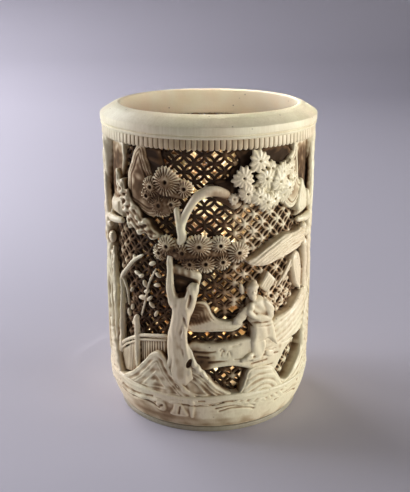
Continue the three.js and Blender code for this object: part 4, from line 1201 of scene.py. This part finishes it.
def mixed(tree, share, a, b, blend="MIX"):
    """Mix of two colours."""
    inputs = {0: share, 6: a, 7: b}
    return linked(tree, "ShaderNodeMix", inputs, data_type="RGBA", blend_type=blend).outputs[2]


def noise(tree, place, scale, detail):
    """Soft noise between 0 and 1."""
    settings = {"Vector": place, "Scale": scale, "Detail": detail}
    return linked(tree, "ShaderNodeTexNoise", settings).outputs[0]


def ramp(tree, value, stops):
    """Colour by a value, through stops of (place, colour)."""
    node = linked(tree, "ShaderNodeValToRGB", {0: value})
    elements = node.color_ramp.elements
    while len(elements) < len(stops):
        elements.new(0.5)
    for element, (place, colour) in zip(elements, stops):
        element.position = place
        element.color = (*colour, 1)
    return node.outputs[0]


def multiplied(tree, value, factor, added):
    """Value times factor plus added."""
    inputs = {0: value, 1: factor, 2: added}
    return linked(tree, "ShaderNodeMath", inputs, operation="MULTIPLY_ADD").outputs[0]


def ivory(name, stops, speck_colour, well, stained_and_shaded):
    """Ivory with long fine grain, cloudy patches and dark specks, and another colour inside the well. Its
    stops run along the stain and painted shade where it has them, and along the clouds where it hasn't."""
    material, tree, shader = nodes_of(name)
    place = linked(tree, "ShaderNodeTexCoord").outputs["Object"]
    stretch = linked(tree, "ShaderNodeMapping", {"Vector": place, "Scale": (1, 1, FIBRE_STRETCH)}).outputs[0]
    clouds = noise(tree, place, CLOUD_SCALE, 5.0)
    fine = noise(tree, place, FINE_SCALE, 4.0)
    value = clouds
    gloss = {"Value": fine, "To Min": GLOSS_RANGE[0], "To Max": GLOSS_RANGE[1]}
    gloss = linked(tree, "ShaderNodeMapRange", gloss).outputs[0]
    if stained_and_shaded:
        # the attribute holds stain and painted shade and light together
        depth = linked(tree, "ShaderNodeAttribute", attribute_name="stain_and_shading").outputs["Fac"]
        uneven = multiplied(tree, clouds, CLOUD_STAIN, CLOUD_BALANCE)
        value = linked(tree, "ShaderNodeMath", {0: depth, 1: uneven}, operation="ADD").outputs[0]
        gloss = multiplied(tree, value, STAIN_ROUGHNESS, gloss)
    colour = ramp(tree, value, stops)
    fibres = ramp(tree, noise(tree, stretch, FIBRE_SCALE, 3.0), FIBRE_TINT)
    colour = mixed(tree, FIBRE_SHARE, colour, fibres, "MULTIPLY")
    warmth = ramp(tree, noise(tree, place, WARMTH_SCALE, 2.0), WARM_TINT)
    colour = mixed(tree, WARM_SHARE, colour, warmth, "MULTIPLY")
    across = linked(tree, "ShaderNodeVectorMath", {0: place, 1: (1, 1, 0)}, operation="MULTIPLY").outputs[0]
    radius = linked(tree, "ShaderNodeVectorMath", {0: across}, operation="LENGTH").outputs["Value"]
    inside = {"Value": radius, "From Min": WELL_FADE[0], "From Max": WELL_FADE[1]}
    inside = linked(tree, "ShaderNodeMapRange", inside).outputs[0]
    colour = mixed(tree, inside, colour, ramp(tree, noise(tree, place, WELL_SCALE, 1.0), well))
    cells = linked(tree, "ShaderNodeTexVoronoi", {"Vector": place, "Scale": SPECK_SCALE}).outputs["Distance"]
    colour = mixed(tree, ramp(tree, cells, SPECK_SHAPE), colour, (*speck_colour, 1))
    bump = {"Height": fine, "Strength": BUMP_STRENGTH, "Distance": BUMP_HEIGHT}
    bump = linked(tree, "ShaderNodeBump", bump).outputs[0]
    for socket, source in (("Base Color", colour), ("Roughness", gloss), ("Normal", bump)):
        tree.links.new(source, shader.inputs[socket])
    shader.inputs["Specular IOR Level"].default_value = SPECULAR
    return material


def finish_piece(name, mesh, material, node):
    """Puts a piece in the scene with its material, standing for a node."""
    piece = bpy.data.objects.new(name, mesh)
    bpy.context.scene.collection.objects.link(piece)
    mesh.materials.append(material)
    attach(piece, "root")
    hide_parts(node)


# Turned pieces
def turned_mesh(name, profile, steps=288):
    """Mesh turned from a closed outline in (radius, height), mm."""
    radius, height = np.array(profile).T
    turn = (np.arange(steps) * math.tau / steps)[:, None]
    places = [radius * np.sin(turn), -radius * np.cos(turn), np.broadcast_to(height, (steps, len(height)))]
    points = np.stack(places, axis=-1) * MM
    return mesh_from(name, points.reshape(-1, 3), [band_faces(steps, len(height))])


def rounded(corners, radius, parts=4):
    """Closed outline with each corner rounded."""
    corners = np.array(corners, float)
    outline = []
    for before, here, after in zip(np.roll(corners, 1, axis=0), corners, np.roll(corners, -1, axis=0)):
        to_before, to_after = before - here, after - here
        reach = min(radius, 0.45 * np.linalg.norm(to_before), 0.45 * np.linalg.norm(to_after))
        a = here + to_before / np.linalg.norm(to_before) * reach
        b = here + to_after / np.linalg.norm(to_after) * reach
        for share in np.linspace(0, 1, parts):
            outline.append((1 - share) ** 2 * a + 2 * share * (1 - share) * here + share ** 2 * b)
    return np.array(outline)


def ring_outline(inner, outer, low, high, radius):
    """Rounded section of a plain ring."""
    return rounded([(inner, low), (outer, low), (outer, high), (inner, high)], radius)


def lip_ring_mesh():
    """Lip ring with its groove, bead, upright band and sloping top."""
    groove = RIM_RADIUS - LIP_GROOVE
    bead = RIM_RADIUS - 0.15
    bead_top = SHOULDER + LIP_BEAD
    return turned_mesh("lip", rounded([
        (MOUTH_RADIUS, SEAT), (NECK_RADIUS, SEAT), (NECK_RADIUS, SHOULDER - FIT), (groove, SHOULDER - FIT),
        (bead, SHOULDER + 0.15), (bead, bead_top - 0.1), (groove, bead_top + 0.1), (groove, bead_top + 0.35),
        (RIM_RADIUS, bead_top + 0.6), (RIM_RADIUS, HEIGHT - LIP_FALL), LIP_CREST,
        (MOUTH_RADIUS + 0.8, HEIGHT), (MOUTH_RADIUS, HEIGHT - 0.4)], 0.4))


def lappet_mesh():
    """Border of tongues: a closed band whose front and lower edge follow each tongue."""
    parts = 14
    steps = LAPPETS * parts
    phase = (np.arange(steps) % parts) / parts * 2 - 1
    swell = np.sqrt(np.clip(1 - phase ** 2, 0, 1))
    wide = ease(1.0, 0.75, np.abs(phase))
    face = LAPPET_RADIUS - 0.5 + 0.4 * wide * (0.4 + 0.6 * swell)
    inner = LATTICE_FACE + FIT
    top = SHOULDER - 0.1
    low = BORDER_BOTTOM + LAPPET_ARCH * (1 - swell)
    rounding = 0.12  # share of the tongue's height over which its tip draws in
    outline = [(inner, low), (LAPPET_BACK, low)]
    for share in (0.0, rounding, 0.3, 0.6, 0.9):
        drawn = 0.35 * max(1 - share / rounding, 0) ** 2
        outline.append((face - drawn, low + share * (top - low)))
    outline += [(LAPPET_RADIUS - 0.2, top), (inner, top)]
    turn = np.arange(steps) * math.tau / steps
    across, down = np.sin(turn), -np.cos(turn)
    places = [(radius * across, radius * down, height + 0 * turn) for radius, height in outline]
    points = np.array(places).transpose(2, 0, 1).reshape(-1, 3) * MM
    degrees = (np.degrees(turn) + 180) % 360 - 180
    # painted shade where the tongues meet and on the front ones, which face away from the lamps
    stain_and_shading = 0.3 * (1 - wide) + 0.16 * np.exp(-((degrees + 8) / 40) ** 4)
    return mesh_from("lappets", points, [band_faces(steps, len(outline))], np.repeat(stain_and_shading, len(outline)))


# The carving, motif by motif
shore_band()
front_ground()
clouds_and_hills()
pebbled_rocks()
framed_panel("left_panel", -76, 1)
framed_panel("right_panel", 79, -1)
hanging_leaf()
# near-black backings: painted deep shade beside the upper left hill and behind the maple leaves
painted_shade_backing("upper_left_backing", [
    (-38, 108), (-28.5, 108.4), (-27, 105.6), (-25, 102.1), (-21.6, 99.5), (-20, 92), (-26, 90), (-34, 96),
    (-38, 102)])
painted_shade_backing("maple_backing", [
    (15.4, 108.6), (30, 109), (46, 109), (54, 106), (60, 100), (58, 94), (50, 90), (43, 88.6), (36, 90.4),
    (28, 90), (20, 91.2), (10.5, 93.6), (3.4, 96), (4, 98.2), (10.5, 98.8), (12.7, 102), (17.1, 104.7)])
pine("pine", -14.5, 1)
maple()
scholar("scholar", 27, 1, 30)
fence()
left_leaves()
edge_tree("left_tree", -81, 1)
edge_tree("right_tree", 88, -1)
back_scene()
pine("back_pine", 160, -1)
scholar("attendant", -126, -1, 28)
pavilion(-160, 28)

full = whole_filling(WIDE_REACH)
lattice("upper_lattice", columns=31, spacing=3.15, anchor=(3.4, 81.9), low=50, high=112, seed=11)
lattice("lower_lattice", columns=35, spacing=2.9, anchor=(-0.8, 40.3), low=14, high=50, seed=12)

carved = ivory("carved_ivory", CARVED_STAIN_AND_SHADE_COLOURS, (0.3, 0.2, 0.12), WELL_WALL, stained_and_shaded=True)
turned = ivory("turned_ivory", TURNED_CLOUDS, (0.25, 0.17, 0.1), WELL_MOUTH, stained_and_shaded=False)
shaded_foot = ivory("grey_ivory", SHADED_FOOT_CLOUDS, (0.15, 0.12, 0.08), WELL_MOUTH, stained_and_shaded=False)

for name, points, faces, hollow, tint, *caps in carvings:
    mesh = mesh_from(name, roll_up(points), [faces, *caps], stain_and_shading_at(points, faces, hollow, tint, full))
    finish_piece(name, mesh, carved, "carved_wall")

foot = ring_outline(FOOT_RADIUS - FOOT_WIDTH, FOOT_RADIUS, 0, FOOT_HEIGHT, 0.5)
plate = ring_outline(PLATE_CENTRE, PLATE_RADIUS, WALL_BOTTOM, WALL_BOTTOM + PLATE_THICKNESS, 0.4)
finish_piece("turned_lip", lip_ring_mesh(), turned, "lip_ring")
finish_piece("hanging_border", lappet_mesh(), carved, "lip_ring")
# the foot ring takes the darker copy, painted shade under the pot
finish_piece("turned_foot", turned_mesh("foot", foot), shaded_foot, "foot_ring")
finish_piece("well_floor", turned_mesh("plate", plate), carved, "floor_plate")

# Studio, m and W
BACKDROP_SECTION = [(-1.2, 0), (0.9, 0), (1.1, 0.03), (1.25, 0.12), (1.3, 0.3), (1.3, 1.6)]  # (y, z)
BACKDROP_HALF = 2.2
POT_MIDDLE = (0, 0, 0.07)
WELL_HEART = (0.002, 0.006, 0.10)
REAR_BORDER = (0, 0.002, 0.113)
FLOOR_BEHIND = (-0.5, 0.7, 0.1)
WARM_LIGHT = (1.0, 0.98, 0.92)
SOFT_LIGHT = (1.0, 0.99, 0.95)
COOL_LIGHT = (0.97, 0.97, 1.0)
FLOOR_LIGHT = (0.98, 0.97, 1.0)
LAMP_LIGHT = (1.0, 0.97, 0.9)
LIGHTS = [  # (name, place, aim, size, power, colour, spread in degrees)
    ("right_window", (0.95, 0.0, 0.11), POT_MIDDLE, (0.50, 0.20), 6.3, WARM_LIGHT, 180),
    ("right_front_window", (0.55, -0.42, 0.13), POT_MIDDLE, (0.30, 0.24), 2.0, SOFT_LIGHT, 180),
    ("left_window", (-0.60, 0.22, 0.30), POT_MIDDLE, (0.35, 0.50), 3.1, COOL_LIGHT, 180),
    ("left_low_window", (-0.60, 0.05, 0.14), POT_MIDDLE, (0.30, 0.26), 1.6, COOL_LIGHT, 180),
    ("back_left_lamp", (-0.7, 0.9, 0.7), FLOOR_BEHIND, (0.50, 0.50), 4.5, FLOOR_LIGHT, 120),
    ("mouth_lamp", (0.06, -0.09, 0.60), WELL_HEART, (0.04, 0.04), 0.032, LAMP_LIGHT, 6),
    ("well_lamp", (-0.03, -0.30, 0.50), REAR_BORDER, (0.02, 0.02), 0.010, LAMP_LIGHT, 5)]
ROOM_COLOUR = (0.9, 0.88, 0.95, 1)
ROOM_STRENGTH = 0.03
CAMERA_PLACE = (0, -0.3220, 0.1668)
CAMERA_AIM = (0, 0, 0.0606)
CAMERA_LENS = 61.96
CAMERA_SENSOR = 36
CAMERA_SHIFT = (-0.0073, 0.0112)


def add_object(name, data, place=(0, 0, 0), aim=None):
    """Object in the scene, turned towards its aim if it has one."""
    item = bpy.data.objects.new(name, data)
    item.location = place
    if aim:
        item.rotation_euler = (Vector(aim) - Vector(place)).to_track_quat("-Z", "Y").to_euler()
    bpy.context.scene.collection.objects.link(item)
    return item


def backdrop():
    """Plain floor that curves up into a plain wall far behind."""
    points = [(x, y, z) for y, z in BACKDROP_SECTION for x in (-BACKDROP_HALF, BACKDROP_HALF)]
    faces = np.array([(i, i + 1, i + 3, i + 2) for i in range(0, len(points) - 2, 2)])
    mesh = mesh_from("backdrop", points, [faces])
    material, _, shader = nodes_of("grey_paper")
    shader.inputs["Base Color"].default_value = PAPER_COLOUR
    shader.inputs["Roughness"].default_value = PAPER_ROUGHNESS
    mesh.materials.append(material)
    add_object("backdrop", mesh)


def area_light(name, place, aim, size, power, colour, spread):
    """Soft rectangular light that points at its aim."""
    light = bpy.data.lights.new(name, "AREA")
    light.spread = math.radians(spread)
    light.shape = "RECTANGLE"
    light.size, light.size_y = size
    light.energy = power
    light.color = colour
    add_object(name, light, place, aim)


def camera():
    """Camera fitted to the photograph's rim and foot."""
    data = bpy.data.cameras.new("camera")
    data.lens = CAMERA_LENS
    data.sensor_width = CAMERA_SENSOR
    data.shift_x, data.shift_y = CAMERA_SHIFT
    bpy.context.scene.camera = add_object("camera", data, CAMERA_PLACE, CAMERA_AIM)


def room():
    """Weak even light from all round."""
    world = bpy.data.worlds.new("room")
    world.use_nodes = True
    background = world.node_tree.nodes["Background"]
    background.inputs["Color"].default_value = ROOM_COLOUR
    background.inputs["Strength"].default_value = ROOM_STRENGTH
    bpy.context.scene.world = world


backdrop()
camera()
for light in LIGHTS:
    area_light(*light)
room()
bpy.context.scene.view_settings.view_transform = "Standard"
